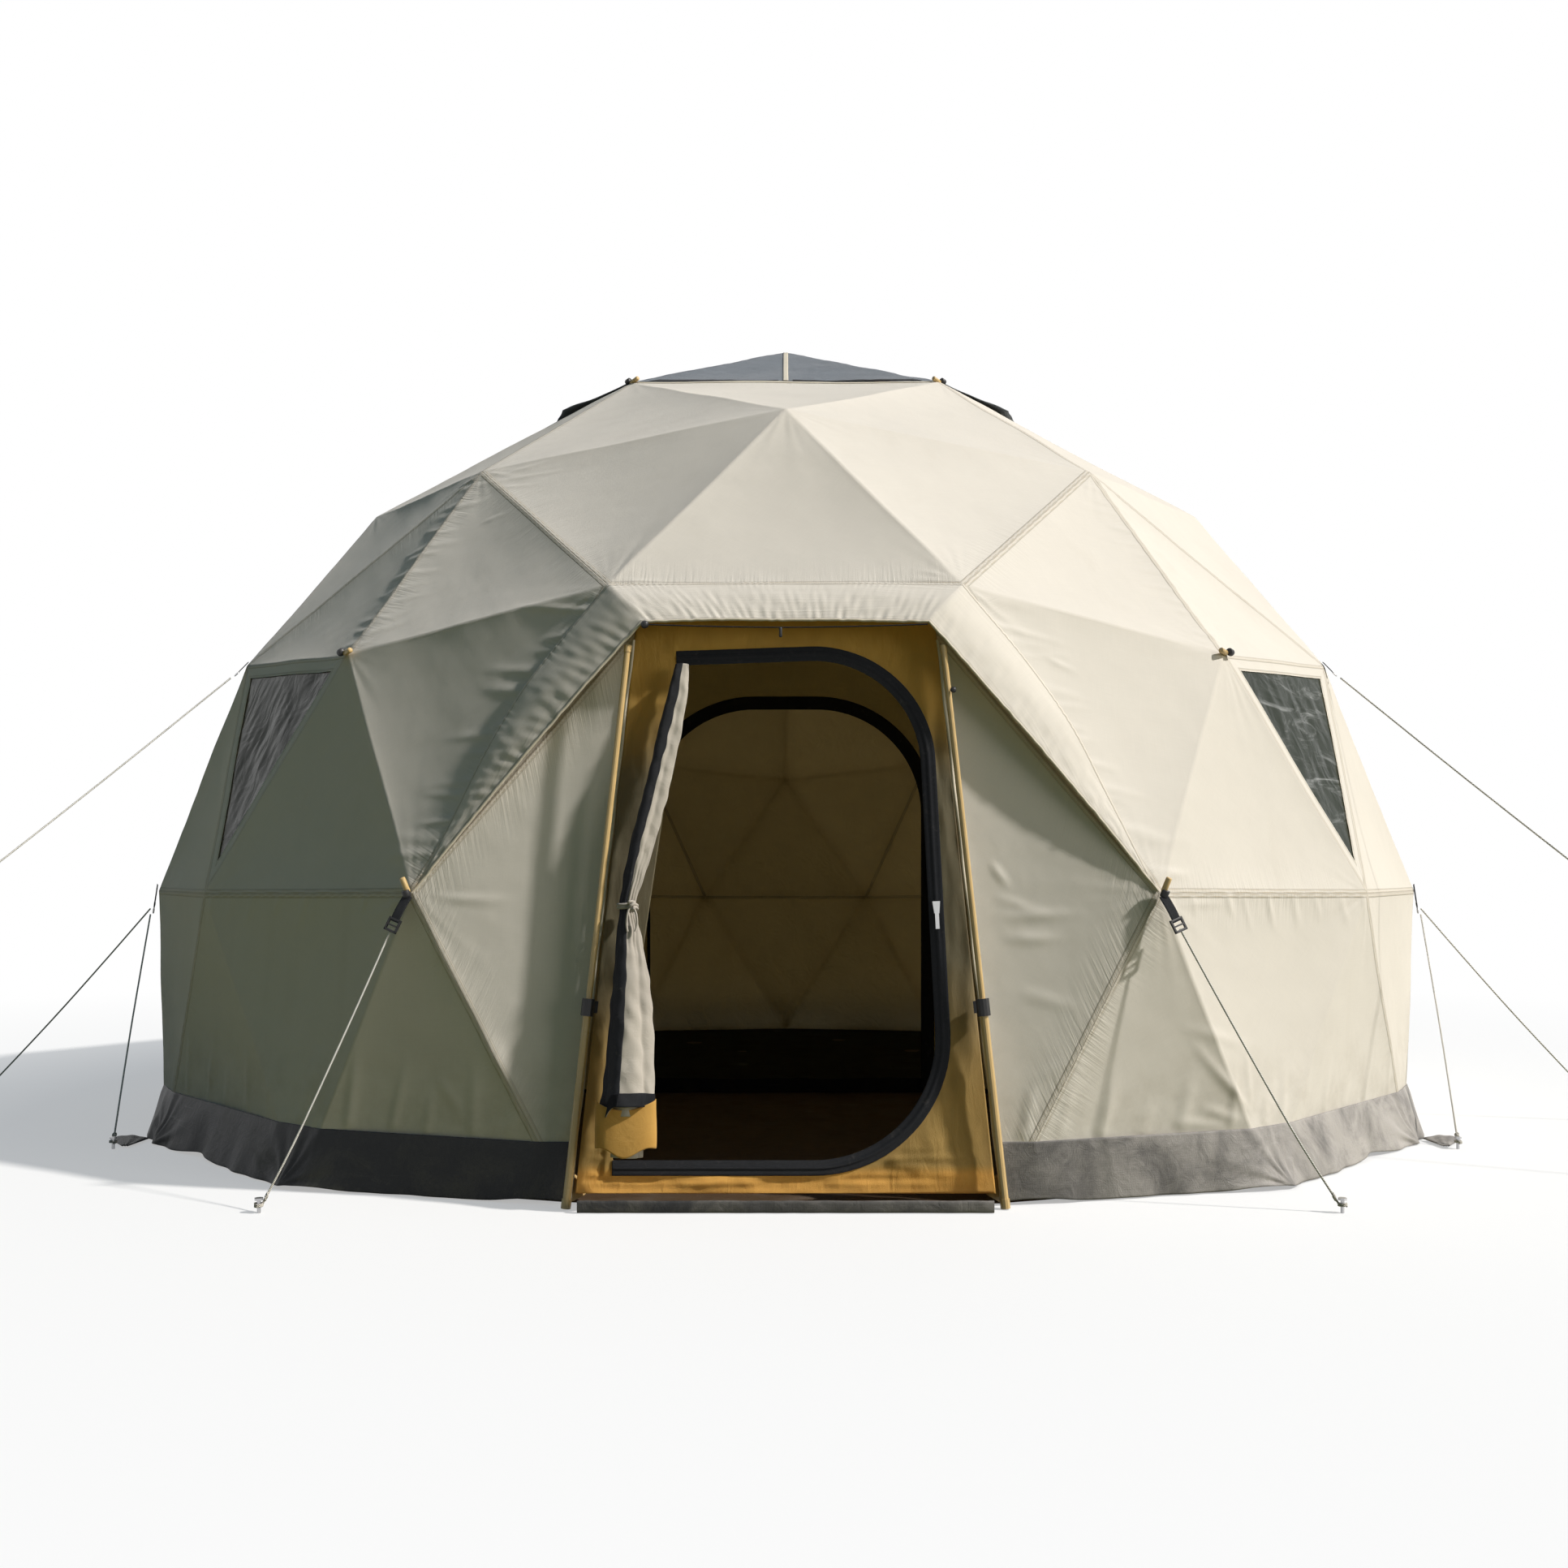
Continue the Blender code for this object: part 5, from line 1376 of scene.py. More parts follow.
def arc(corner, before_it, after_it, radius, steps=24):
    corner, first, second = Vector(corner), Vector(before_it), Vector(after_it)
    back = (first - corner).normalized()
    on = (second - corner).normalized()
    half = back.angle(on) / 2
    middle = corner + (back + on).normalized() * (radius / math.sin(half))
    start = corner + back * (radius / math.tan(half)) - middle
    sweep = start.angle_signed(corner + on * (radius / math.tan(half)) - middle)
    points = []
    for i in range(steps + 1):
        turn = -sweep * i / steps
        points.append(middle + Vector((start.x * math.cos(turn) - start.y * math.sin(turn),
                                       start.x * math.sin(turn) + start.y * math.cos(turn))))
    return points


def zip_line():
    top = arc(ZIP_TOP_RIGHT, ZIP_TOP_LEFT, ZIP_BOTTOM_RIGHT, ZIP_TOP_RADIUS)
    bottom = arc(ZIP_BOTTOM_RIGHT, ZIP_TOP_RIGHT, ZIP_BOTTOM_LEFT, ZIP_BOTTOM_RADIUS)
    return [Vector(ZIP_TOP_LEFT)] + top + bottom + [Vector(ZIP_BOTTOM_LEFT)]


def beside(line, distance):
    """A flat line moved to its left by this distance."""
    line = np.asarray(line, float)
    way = np.gradient(line, axis=0)
    way /= np.linalg.norm(way, axis=1)[:, None]
    return line + np.stack([-way[:, 1], way[:, 0]], axis=1) * distance


def cast_to_outline(middle, towards, outline):
    """Where the ray from the middle through a point meets a closed flat outline."""
    way = np.asarray(towards, float) - middle
    best = None
    for a, b in zip(outline, outline[1:] + outline[:1]):
        a, b = np.array(a), np.array(b)
        side = b - a
        square = way[0] * side[1] - way[1] * side[0]
        if abs(square) < 1e-9:
            continue
        gap = a - middle
        reach = (gap[0] * side[1] - gap[1] * side[0]) / square
        share = (gap[0] * way[1] - gap[1] * way[0]) / square
        if reach > 0 and -1e-6 <= share <= 1 + 1e-6 and (best is None or reach < best):
            best = reach
    return middle + way * best


def outline_round(middle, loop, outline):
    """One outline point for each point of an inner loop, with the corners kept."""
    middle = np.array(middle)
    outer = np.array([cast_to_outline(middle, point, outline) for point in loop])
    for corner in outline:
        nearest = np.argmin(np.linalg.norm(outer - np.array(corner), axis=1))
        outer[nearest] = corner
    return outer


def make_door_wall():
    count = 620
    rows = 34
    hole = beside(resampled(zip_line(), 200), -ZIP_WIDTH / 2)
    hole = resampled(np.concatenate([hole, hole[:1]]), count + 1)[:-1]
    outer = outline_round(DOORWAY_MIDDLE, hole, list(DOOR_WALL_OUTLINE))
    flat = between(hole, outer, rows)
    out = np.zeros(flat.shape[:2])
    grid = np.concatenate([flat, out[:, :, None]], axis=2)
    down = np.linspace(0, 1, rows)[:, None]
    along = np.linspace(0, math.tau, count, endpoint=False)[None, :]
    far = down * np.linalg.norm(outer - hole, axis=1)[None, :]
    free = np.sin(np.pi * np.clip(down, 0, 1)) ** 0.7
    free = free * smooth_step(ZIP_WIDTH - 0.003, ZIP_WIDTH + 0.020, far)
    grid[:, :, 2] += 0.0035 * waves_on(grid, 0.30, 31) * free
    grid[:, :, 2] += 0.0011 * waves_on(grid, 0.07, 32) * free
    pucker = np.sin(along * 95) + 0.6 * np.sin(along * 143 + 1.0)
    grid[:, :, 2] += 0.0010 * pucker * np.exp(-down * 5) * free * (0.5 + 0.5 * waves_on(grid, 0.25, 33))
    tall = grid * np.array((1.0, 0.22, 1.0))
    at_side = smooth_step(0.28, 0.36, np.abs(grid[:, :, 0])) * smooth_step(0.15, 0.35, grid[:, :, 1])
    grid[:, :, 2] += 0.0022 * waves_on(tall, 0.05, 34) * at_side * free
    wide = grid * np.array((0.3, 1.0, 1.0))
    at_sill = 1 - smooth_step(0.10, 0.20, grid[:, :, 1])
    grid[:, :, 2] += 0.0016 * waves_on(wide, 0.03, 35) * at_sill * free
    wall = sheet_object("door_wall_cloth", on_door(grid), DOOR, 0.0012,
                        nodes=["door_wall"], closed=True)


ZIP_HALF_PROFILE = ((0.0018, 0.0028), (0.0032, 0.0022), (0.0042, 0.0012), (0.0105, 0.0012),
                    (0.0168, 0.0010), (0.0175, 0.0004))
ZIP_PROFILE = [(-aside, out) for aside, out in ZIP_HALF_PROFILE[::-1]] + [(0.0, 0.0030), *ZIP_HALF_PROFILE]


def make_zip():
    """The zip tape round the doorway, with its covered coil down the middle."""
    line = np.array(zip_line(), float)
    line[0] -= (line[1] - line[0]) / np.linalg.norm(line[1] - line[0]) * 0.02
    line = resampled(line, 900)
    way = np.linspace(0, 1, len(line))
    columns = []
    for aside, out in ZIP_PROFILE:
        moved = beside(line, aside)
        ripple = 0.0003 * np.sin(way * 130 + aside * 80) * abs(aside) / (ZIP_WIDTH / 2)
        columns.append(np.concatenate([moved, (out + 0.0012 + ripple)[:, None]], axis=1))
    grid = on_door(np.stack(columns, axis=1))
    tape = sheet_object("door_zip_tape", grid, TAPE, 0.0010, nodes=["door_zip"])


make_door_wall()
make_zip()


# Door flap

FLAP_SECTIONS = (
    (1.262, -0.243, 0.014, 0.009, 0.05), (1.200, -0.252, 0.020, 0.012, 0.12),
    (1.100, -0.272, 0.024, 0.015, 0.20), (0.980, -0.298, 0.025, 0.017, 0.24),
    (0.860, -0.328, 0.026, 0.018, 0.24), (0.760, -0.352, 0.022, 0.017, 0.16),
    (0.700, -0.365, 0.0155, 0.0155, 0.04), (0.680, -0.366, 0.0155, 0.0155, 0.04),
    (0.620, -0.362, 0.026, 0.019, 0.18), (0.520, -0.357, 0.041, 0.024, 0.26),
    (0.400, -0.356, 0.051, 0.027, 0.28), (0.280, -0.357, 0.058, 0.029, 0.28),
    (0.170, -0.360, 0.065, 0.031, 0.26), (0.118, -0.362, 0.067, 0.032, 0.24),
)
FLAP_STAND_OFF = 0.0216
FLAP_TOP = 1.262
FLAP_TURNS = 3.2
FLAP_FOLDS = 3
TIE_HEIGHT = 0.69
TIE_TURNS = 2.15


def flap_shape(height):
    """Middle, half width, half depth and fold depth of the gathered flap at this height."""
    table = np.array(FLAP_SECTIONS)[::-1]
    return [np.interp(height, table[:, 0], table[:, k]) for k in range(1, 5)]


def flap_centre(height):
    """The flap's middle, half width and half depth at this height, and how far out its middle is."""
    middle, half_width, half_depth, fold = flap_shape(height)
    return middle, half_width, half_depth, FLAP_STAND_OFF + half_depth * (1 + fold)


def make_flap():
    """The flap rolled into loose folds: its sewn edge inside, its zip edge round the front."""
    rows, columns = ((260, 620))
    share = np.linspace(0, 1, columns)[None, :]
    hang = np.linspace(0, 1, rows)[:, None] ** 0.97
    hem = 0.118 + 0.094 * smooth_step(0.28, 0.55, share) + 0.022 * smooth_step(0.62, 0.90, share)
    hem -= 0.05 * smooth_step(0.93, 1.0, share)
    height = FLAP_TOP + (hem - FLAP_TOP) * hang
    middle, half_width, half_depth, fold = flap_shape(height)
    turn = -1.08 * math.pi + math.tau * FLAP_TURNS * (share - 1.0) + 0.35 * (FLAP_TOP - height)
    spread = 0.42 + 0.58 * share
    tight = np.exp(-((height - TIE_HEIGHT) / 0.09) ** 2)
    drift = 1.4 * (FLAP_TOP - height)
    swell = 1 + fold * (0.62 * np.cos(FLAP_FOLDS * turn + drift) + 0.30 * np.cos(2 * turn + 2.0 * drift))
    swell += 0.10 * tight * np.cos(13 * turn + 2.0) + 0.02 * np.cos(8 * turn + 3.1 * drift)
    x = middle + half_width * spread * swell * np.cos(turn) * 1.06
    out = FLAP_STAND_OFF + half_depth * (1 + fold) + half_depth * spread * swell * np.sin(turn) * 1.06
    out = out + 0.012 * smooth_step(0.86, 1.0, hang) * smooth_step(0.55, 0.8, share)
    grid = np.stack([x, height, out], axis=2)
    grid[:, :, 2] += 0.0012 * waves_on(grid, 0.05, 41)
    grid[:, :, 0] += 0.0012 * waves_on(grid, 0.06, 42)
    grid = on_door(grid)
    flap = sheet_object("door_flap_cloth", grid, FLAP, 0.0012, "door_flap",
                        ["door_flap"], inside=MUSTARD)
    make_flap_tapes(grid)


def make_flap_tapes(grid):
    """The zip tape along the flap's free edge, and the tape along its hem."""
    rows, columns = grid.shape[:2]
    outer = lifted(grid, np.full((rows, columns), 0.0016))
    wide = round(0.075 * columns)
    low = rows - max(3, round(0.035 * rows))
    edge = sheet_object("flap_zip_edge", outer[:, -wide:], TAPE, 0.0010, "door_flap")
    hem_tape = sheet_object("flap_zip_hem", outer[low:, round(0.69 * columns):], TAPE, 0.0010, "door_flap")


def make_flap_curl():
    """The flap's lining, turned out in a loose curl under its hem."""
    middle, half_width, half_depth, centre = flap_centre(0.14)
    angle = np.radians(np.linspace(182, 405, 150))[None, :]
    down = np.linspace(0, 1, 26)[:, None]
    ease = smooth_step(0, 1, down)
    reach = 1.06 + 0.08 * ease + 0.06 * np.cos(3 * angle + 0.6 + 1.5 * down)
    reach = reach - 0.26 * smooth_step(5.6, 7.2, angle) - 0.16 * ease * (1 - smooth_step(3.2, 4.2, angle))
    height = 0.238 - 0.101 * down + 0.012 * np.cos(2 * angle) + 0.006 * np.sin(5 * angle) * down
    x = middle - 0.002 + half_width * reach * np.cos(angle)
    out = centre - 0.002 + half_depth * reach * np.sin(-angle)
    grid = on_door(np.stack([x, height, out], axis=2))
    curl = sheet_object("door_flap_curl", grid, MUSTARD, 0.0014, "door_flap")


def tie_piece(name, places, radius, sides=10, closed=False):
    line = [Vector(place) for place in on_door(places)]
    return tube(f"door_flap_tie_{name}", line, radius, sides, closed)


def make_tie():
    """Two turns of cord round the flap's waist, with a knot and its ends."""
    middle, _, _, centre = flap_centre(TIE_HEIGHT)
    loops, knot = [], []
    for share in np.linspace(0, 1, 90):
        angle = math.tau * TIE_TURNS * share - 0.5 * math.pi
        reach = 0.0215 + 0.0012 * math.sin(3 * angle)
        height = 0.683 + 0.014 * share + 0.0015 * math.sin(2 * angle)
        loops.append((middle + reach * math.cos(angle), height, centre + reach * math.sin(angle)))
    dress(tie_piece("cord", loops, 0.004), FLAP, "door_flap", ["door_flap_tie"])
    for angle in np.linspace(0, math.tau, 40):
        knot.append((middle + 0.012 + 0.006 * math.sin(2 * angle), TIE_HEIGHT + 0.009 * math.sin(angle),
                     centre + 0.0265 + 0.004 * math.cos(3 * angle)))
    dress(tie_piece("knot", knot, 0.0036, closed=True), FLAP, "door_flap")
    for place, side in reversed(SIDES.items()):
        end = [(middle + 0.012 + side * 0.004, 0.686, centre + 0.027),
               (middle + 0.013 + side * 0.010, 0.670, centre + 0.031),
               (middle + 0.013 + side * 0.012, 0.648, centre + 0.029),
               (middle + 0.012 + side * 0.009, 0.630, centre + 0.030)]
        points = smooth_route([tuple(p) for p in on_door(end)], 14)
        dress(tube(f"door_flap_tie_end_{place}", points, 0.0026, 8), FLAP, "door_flap")


make_flap()
make_flap_curl()
make_tie()


# Skirts

GROUND_RING = (("ground_post", 0), ("ground", 1, -1), ("ground", 1, 1), ("ground_post", 1),
               ("ground", 2, -1), ("ground", 2, 1), ("ground_post", 2))
EAR_TIP = (1.876, -1.306)
EAR_WIDTH = 0.11
SKIRT_REAR = math.pi - 0.0005


def at_azimuth(line, azimuth):
    """Where a line of points round the dome passes each azimuth, seen from above."""
    line = np.asarray(line, float)
    angles = np.arctan2(line[:, 0], -line[:, 1])
    found = []
    for angle in azimuth:
        span = int(np.clip(np.searchsorted(angles, angle) - 1, 0, len(line) - 2))
        a, b = line[span], line[span + 1]
        way = np.array((math.sin(angle), -math.cos(angle)))
        side = b[:2] - a[:2]
        square = way[0] * side[1] - way[1] * side[0]
        share = (a[1] * way[0] - a[0] * way[1]) / -square
        found.append(a + (b - a) * share)
    return np.array(found)


def skirt_lines():
    """The skirt's sewn line on the wall and its foot, from the doorway to the rear, for x > 0."""
    facets = dome_facets() + porch_facets(1)[:1]
    low = [keys for keys in facets if any(on_ground(key) for key in keys)]
    top = [p for p in crossing(CORNERS, low, 2, SKIRT_HEIGHT) if p.x > -1e-4]
    top.sort(key=lambda p: math.atan2(p.x, -p.y))
    foot = [CORNERS["ground", 0, 1] + NORMALS["ground", 0, 1] * 0.010]
    foot += [CORNERS[key] + NORMALS[key] * SKIRT_SPLAY for key in GROUND_RING]
    return top, foot


def to_rear(line, count):
    """The line as points at even azimuths from its first point to the rear."""
    first = math.atan2(line[0].x, -line[0].y)
    return at_azimuth(line, first + (SKIRT_REAR - first) * np.linspace(0, 1, count))


def anchor_folds(low, up, along, anchors):
    """How far the skirt stands out in the folds that run up from where it is pegged."""
    out = np.zeros(up.shape)
    for number, anchor in enumerate(anchors):
        near = np.argmin(np.linalg.norm(low[:, :2] - np.array(anchor)[:2], axis=1))
        across = along - along[0, near]
        far = np.hypot(across, up)
        angle = np.arctan2(across, up)
        rays = np.sin(11 * angle + number) + 0.6 * np.sin(17 * angle + 2.0)
        out += 0.0045 * rays * np.exp(-far / 0.10) * smooth_step(0.01, 0.05, far)
        out += 0.018 * np.exp(-(far / 0.05) ** 2)
    return out


def make_skirt(place, side):
    top, foot = skirt_lines()
    count = 1400
    rows = 30
    high, low = to_rear(top, count), to_rear(foot, count)
    grid = between(high, low, rows)
    down = np.linspace(0, 1, rows)[:, None]
    along = run_of(low)[None, :]
    away = low - high
    away[:, 2] = 0
    away /= np.linalg.norm(away, axis=1)[:, None]
    rng = np.random.default_rng(50)
    ripple = np.zeros_like(along)
    for scale in (0.42, 0.27, 0.18, 0.11):
        ripple += scale * np.sin(math.tau * along / scale + rng.uniform(0, 6.28))
    ear = Vector((EAR_TIP[0] - 0.05, EAR_TIP[1] + 0.05, 0.0))
    out = 0.016 * ripple * down ** 1.3
    out = out + anchor_folds(low, grid[:, :, 2] + 0.004, along, [foot[1], ear, *foot[3:7]])
    lift = 0.010 * np.clip(np.sin(math.tau * along / 0.61 + 0.8), 0, 1) ** 2 * down ** 4
    grid[:, :, :2] += away[None, :, :2] * out[:, :, None]
    grid[:, :, 2] += lift + 0.003 * down
    grid[:, :, 2] = np.maximum(grid[:, :, 2], 0.0015)
    tuck = np.clip(1 - down * 6, 0, 1)
    grid[:, :, :2] += away[None, :, :2] * (0.0022 * (1 - tuck))[:, :, None]
    grid[:, :, 0] *= side
    skirt = sheet_object(f"skirt_cloth_{place}", grid[:, ::side], SKIRT, 0.0014,
                         nodes=[f"skirt_{place}"])
    make_ear(place, side, Vector((foot[2].x, foot[2].y, 0.0)))


def make_ear(place, side, corner):
    """The skirt's corner that is pulled out to a peg."""
    tip = Vector((*EAR_TIP, 0.0))
    across = (tip - corner).cross(Vector((0.0, 0.0, 1.0))).normalized() * EAR_WIDTH / 2
    lines = []
    for t in np.linspace(0, 1, 14):
        middle = (corner * 1.02).lerp(tip, t)
        half = across * (1 - 0.82 * t)
        row = []
        for u in np.linspace(-1, 1, 15):
            p = middle + half * u
            row.append((side * p.x, p.y, 0.006 + 0.010 * (1 - t) * (1 - u * u) + 0.001 * math.sin(9 * u)))
        lines.append(row[::side])
    ear = sheet_object(f"skirt_ear_{place}", np.array(lines), SKIRT, 0.0022)


for place, side in SIDES.items():
    make_skirt(place, side)


# Vent cap

CAP_OVERLAP = 0.25


def make_cap():
    cloth = Cloth()
    count = 60
    GRIDS[count] = barycentric(count)
    for keys in vent_facets():
        cloth.facet(keys, count, 0.010)
    points, normals, sag, *rest = cloth.arrays()
    shift = sag + 0.002 + 0.0016 * noise_waves(points, 0.30, 61) + 0.0006 * noise_waves(points, 0.08, 62)
    shift += hub_wrinkles(points, ("crown",), 0.0016, 0.10, 63)
    for gore in range(GORES):
        shift += hub_wrinkles(points, ("collar", gore), 0.0014, 0.08, 64 + gore)
    cap = welded("vent_cap_mesh", points, points + normals * shift[:, None], *rest)
    dress(cap, CAP, nodes=["roof_vent_cap"])
    for gore in range(1, GORES):
        make_cap_flap(gore)


def make_cap_flap(gore):
    """The cap's strip that lies over the roof panel below one of its edges."""
    rows = 16
    a, b, low = CORNERS["collar", before(gore)], CORNERS["collar", gore], CORNERS["roof_mid", gore]
    line = lerped(a, b, np.linspace(0, 1, 60))
    grid = between(line, [p.lerp(low, CAP_OVERLAP) for p in line], rows)
    down = np.linspace(0, 1, rows)[:, None]
    height = 0.003 + 0.020 * down ** 1.5 + 0.004 * waves_on(grid, 0.12, 70 + gore) * down
    grid = lifted(grid[:, ::-1], height[:, ::-1])
    flap = sheet_object(f"vent_cap_flap_{gore}", grid, CAP, 0.0012)


make_cap()


# Windows


def inset_corners(corners, distance):
    """A triangle's corners moved inwards, so that each side moves by the distance."""
    moved = []
    for i in range(3):
        point, ahead, behind = corners[i], corners[(i + 1) % 3], corners[i - 1]
        first, second = (ahead - point).normalized(), (behind - point).normalized()
        half = first.angle(second) / 2
        moved.append(point + (first + second).normalized() * (distance / math.sin(half)))
    return moved


def make_window(place, side):
    keys = outward(tuple(sorted(window_facet(side))))
    corners = [CORNERS[key] for key in keys]
    pane = inset_corners(corners, WINDOW_BORDER - 0.006)
    normal = (corners[1] - corners[0]).cross(corners[2] - corners[0]).normalized()
    count = 90
    places, faces = barycentric(count)
    points = places @ np.array(pane)
    free = (27 * places.prod(axis=1)) ** 0.5
    shift = -0.0025 + cloth_waves(points)
    shift += 0.0016 * noise_waves(points, 0.20, 80 + side) * free
    shift += 0.0009 * noise_waves(points * np.array((1.0, 1.0, 0.35)), 0.055, 82 + side) * free
    film = new_mesh(f"window_film_{place}", points + np.array(normal) * shift[:, None], faces)
    local = places @ np.array(corners)
    along = np.array((corners[1] - corners[0]).normalized())
    set_uv(film, np.stack([local @ along, local[:, 2]], axis=1)[faces.ravel()])
    dress(film, FILM, nodes=[f"window_{place}"])


for place, side in SIDES.items():
    make_window(place, side)


# Inside

LINER_INSET = 0.056
LINER_SAG = 0.018
ROOM_WALL_Y = -0.300
ROOM_WALL_BOTTOM = 0.022
ROOM_DOOR_HALF_WIDTH = 0.490
ROOM_DOOR_TOP = 1.390
ROOM_DOOR_RADIUS = 0.378
ROOM_ZIP_INNER = -0.004
ROOM_ZIP_WIDTH = 0.047
ROLL_MIDDLE = (-0.5226, -0.3356)
ROLL_HEIGHTS = (0.20, 1.06)
ROLL_TIES = (0.42, 0.84)
ROLL_TURNS = 2.6
ROLL_RADIUS = 0.034
ROOM_FLOOR_FRONT = -0.262
ROOM_LIP_HEIGHT = 0.055
PORCH_FLOOR_Y = -2.089
FRONT_HALF_WIDTH = 0.47
FRONT_HEM_MIDDLE = (-2.0952, 0.0143)
FRONT_HEM_HALF = (0.0052, 0.0138)


def sunk(key, depth, ground_height=0.0):
    point = CORNERS[key] - NORMALS[key] * depth
    if on_ground(key):
        point.z = ground_height
    return point


def make_liner():
    count = 36
    places, faces = barycentric(count)
    cloth = Cloth()
    for keys in clothed_facets():
        keys = outward(keys)
        corners = np.array([sunk(key, LINER_INSET, 0.006) for key in keys])
        normals = places @ np.array([NORMALS[key] for key in keys])
        along = (corners[1] - corners[0]) / np.linalg.norm(corners[1] - corners[0])
        local = places @ (corners - corners[0])
        uv = np.stack([local @ along, local[:, 2]], axis=1)
        gaps = seam_gaps(places, keys, corners, LINER_SEAMS)
        cloth.add(places @ corners, normals, hung_in(places, LINER_SAG), faces, uv, gaps)
    points, normals, sag, *rest = cloth.arrays()
    shift = sag + 0.003 * noise_waves(points, 0.35, 91) + 0.0008 * noise_waves(points, 0.09, 92)
    liner = welded("liner_cloth", points, points + normals * shift[:, None], *rest)
    dress(liner, LINING, nodes=["inner_liner"])


def section_outline(level):
    """The liner's section at this y, as flat points (x, height), round from the left foot."""
    points = {key: sunk(key, LINER_INSET + 0.014, ROOM_WALL_BOTTOM) for key in NORMALS}
    facets = vent_facets() + dome_facets()
    found = crossing(points, facets, 1, level)
    found.sort(key=lambda p: math.atan2(p.z - 0.7, p.x))
    return [(p.x, p.z) for p in found]


def arch_line():
    half, top, radius = ROOM_DOOR_HALF_WIDTH, ROOM_DOOR_TOP, ROOM_DOOR_RADIUS
    left, right = (-half, top), (half, top)
    return ([Vector((-half, ROOM_WALL_BOTTOM))] + arc(left, (-half, 0.0), right, radius)
            + arc(right, left, (half, 0.0), radius) + [Vector((half, ROOM_WALL_BOTTOM))])


def make_room_wall():
    count = 420
    arch = resampled(arch_line(), count)
    outline = section_outline(ROOM_WALL_Y)
    low = min(p[1] for p in outline)
    middle = np.array((0.0, ROOM_WALL_BOTTOM))
    outer = np.array([cast_to_outline(middle, point, outline) for point in arch])
    outer[0] = (min(p[0] for p in outline if p[1] < low + 0.02), ROOM_WALL_BOTTOM)
    outer[-1] = (-outer[0][0], ROOM_WALL_BOTTOM)
    flat = between(arch, outer, 40)
    grid = np.stack([flat[:, :, 0], np.full(flat.shape[:2], ROOM_WALL_Y), flat[:, :, 1]], axis=2)
    free = np.sin(np.pi * np.linspace(0, 1, 40))[:, None]
    hang = grid * np.array((1.0, 1.0, 0.12))
    grid[:, :, 1] += (0.006 * waves_on(hang, 0.16, 95) + 0.002 * waves_on(grid, 0.08, 96)) * free
    wall = sheet_object("room_wall_cloth", grid, ROOM_LINING, 0.0010,
                        nodes=["inner_room_wall_left", "inner_room_wall_right"])


def make_room_zip():
    """The black zip band round the inner room's doorway."""
    line = resampled(arch_line(), 240)
    columns = []
    for share in np.linspace(0, 1, 9):
        moved = beside(line, ROOM_ZIP_INNER + ROOM_ZIP_WIDTH * share)
        y = np.full(len(moved), ROOM_WALL_Y - 0.003 - 0.002 * math.sin(math.pi * share))
        columns.append(np.stack([moved[:, 0], y, moved[:, 1]], axis=1))
    band = sheet_object("room_doorway_zip", np.stack(columns, axis=1), TAPE, 0.0012)


def make_room_roll():
    """The inner room's door, rolled up loosely and tied at two heights."""
    rows, columns = 120, 200
    height = np.linspace(*ROLL_HEIGHTS, rows)[:, None]
    share = np.linspace(0, 1, columns)[None, :]
    turn = math.tau * ROLL_TURNS * share
    tied = sum(np.exp(-((height - level) / 0.035) ** 2) for level in ROLL_TIES)
    radius = ROLL_RADIUS * (0.35 + 0.65 * share) * (1 - 0.22 * tied)
    radius = radius * (1 + 0.06 * np.cos(5 * turn + 4 * height))
    grid = np.stack([ROLL_MIDDLE[0] + radius * np.cos(turn), ROLL_MIDDLE[1] + radius * np.sin(turn),
                     height + 0 * share + 0.004 * np.sin(turn)], axis=2)
    roll = sheet_object("room_door_cloth", grid, ROOM_LINING, 0.0010,
                        nodes=["inner_room_door_roll"])


def ground_outline(inset, front=None):
    ring = [("ground", 0, 1)]
    for gore in range(GORES):
        ring += [("ground_post", gore), ("ground", after(gore), -1), ("ground", after(gore), 1)]
    points = [np.array(sunk(key, inset).xy) for key in ring[:-1]]
    if front is None:
        return points
    kept = []
    for start, end in zip(points, points[1:] + points[:1]):
        if start[1] >= front:
            kept.append(start)
        if (start[1] >= front) != (end[1] >= front):
            kept.append(start + (end - start) * (front - start[1]) / (end[1] - start[1]))
    return kept


def floor_grid(outline, height, middle, rows, count):
    line = np.array(outline + outline[:1])
    edge = resampled(line, count + 1)[:-1]
    flat = between(edge, np.tile(np.array(middle), (count, 1)), rows)
    return np.concatenate([flat, np.full(flat.shape[:2] + (1,), height)], axis=2)


def make_groundsheet():
    outline = ground_outline(0.012)
    back = outline[0][1]
    for x, y in ((-1, back), (-1, PORCH_FLOOR_Y), (1, PORCH_FLOOR_Y), (1, back)):
        outline.append(np.array((x * FRONT_HALF_WIDTH, y)))
    grid = floor_grid(outline, 0.0022, (0.0, 0.0), 60, 520)
    grid[:, :, 2] += 0.0012 + 0.0011 * waves_on(grid, 0.35, 101) + 0.0005 * waves_on(grid, 0.12, 102)
    sheet = sheet_object("groundsheet_cloth", grid[::-1], FLOOR, 0.0012,
                         nodes=["groundsheet"], closed=True)


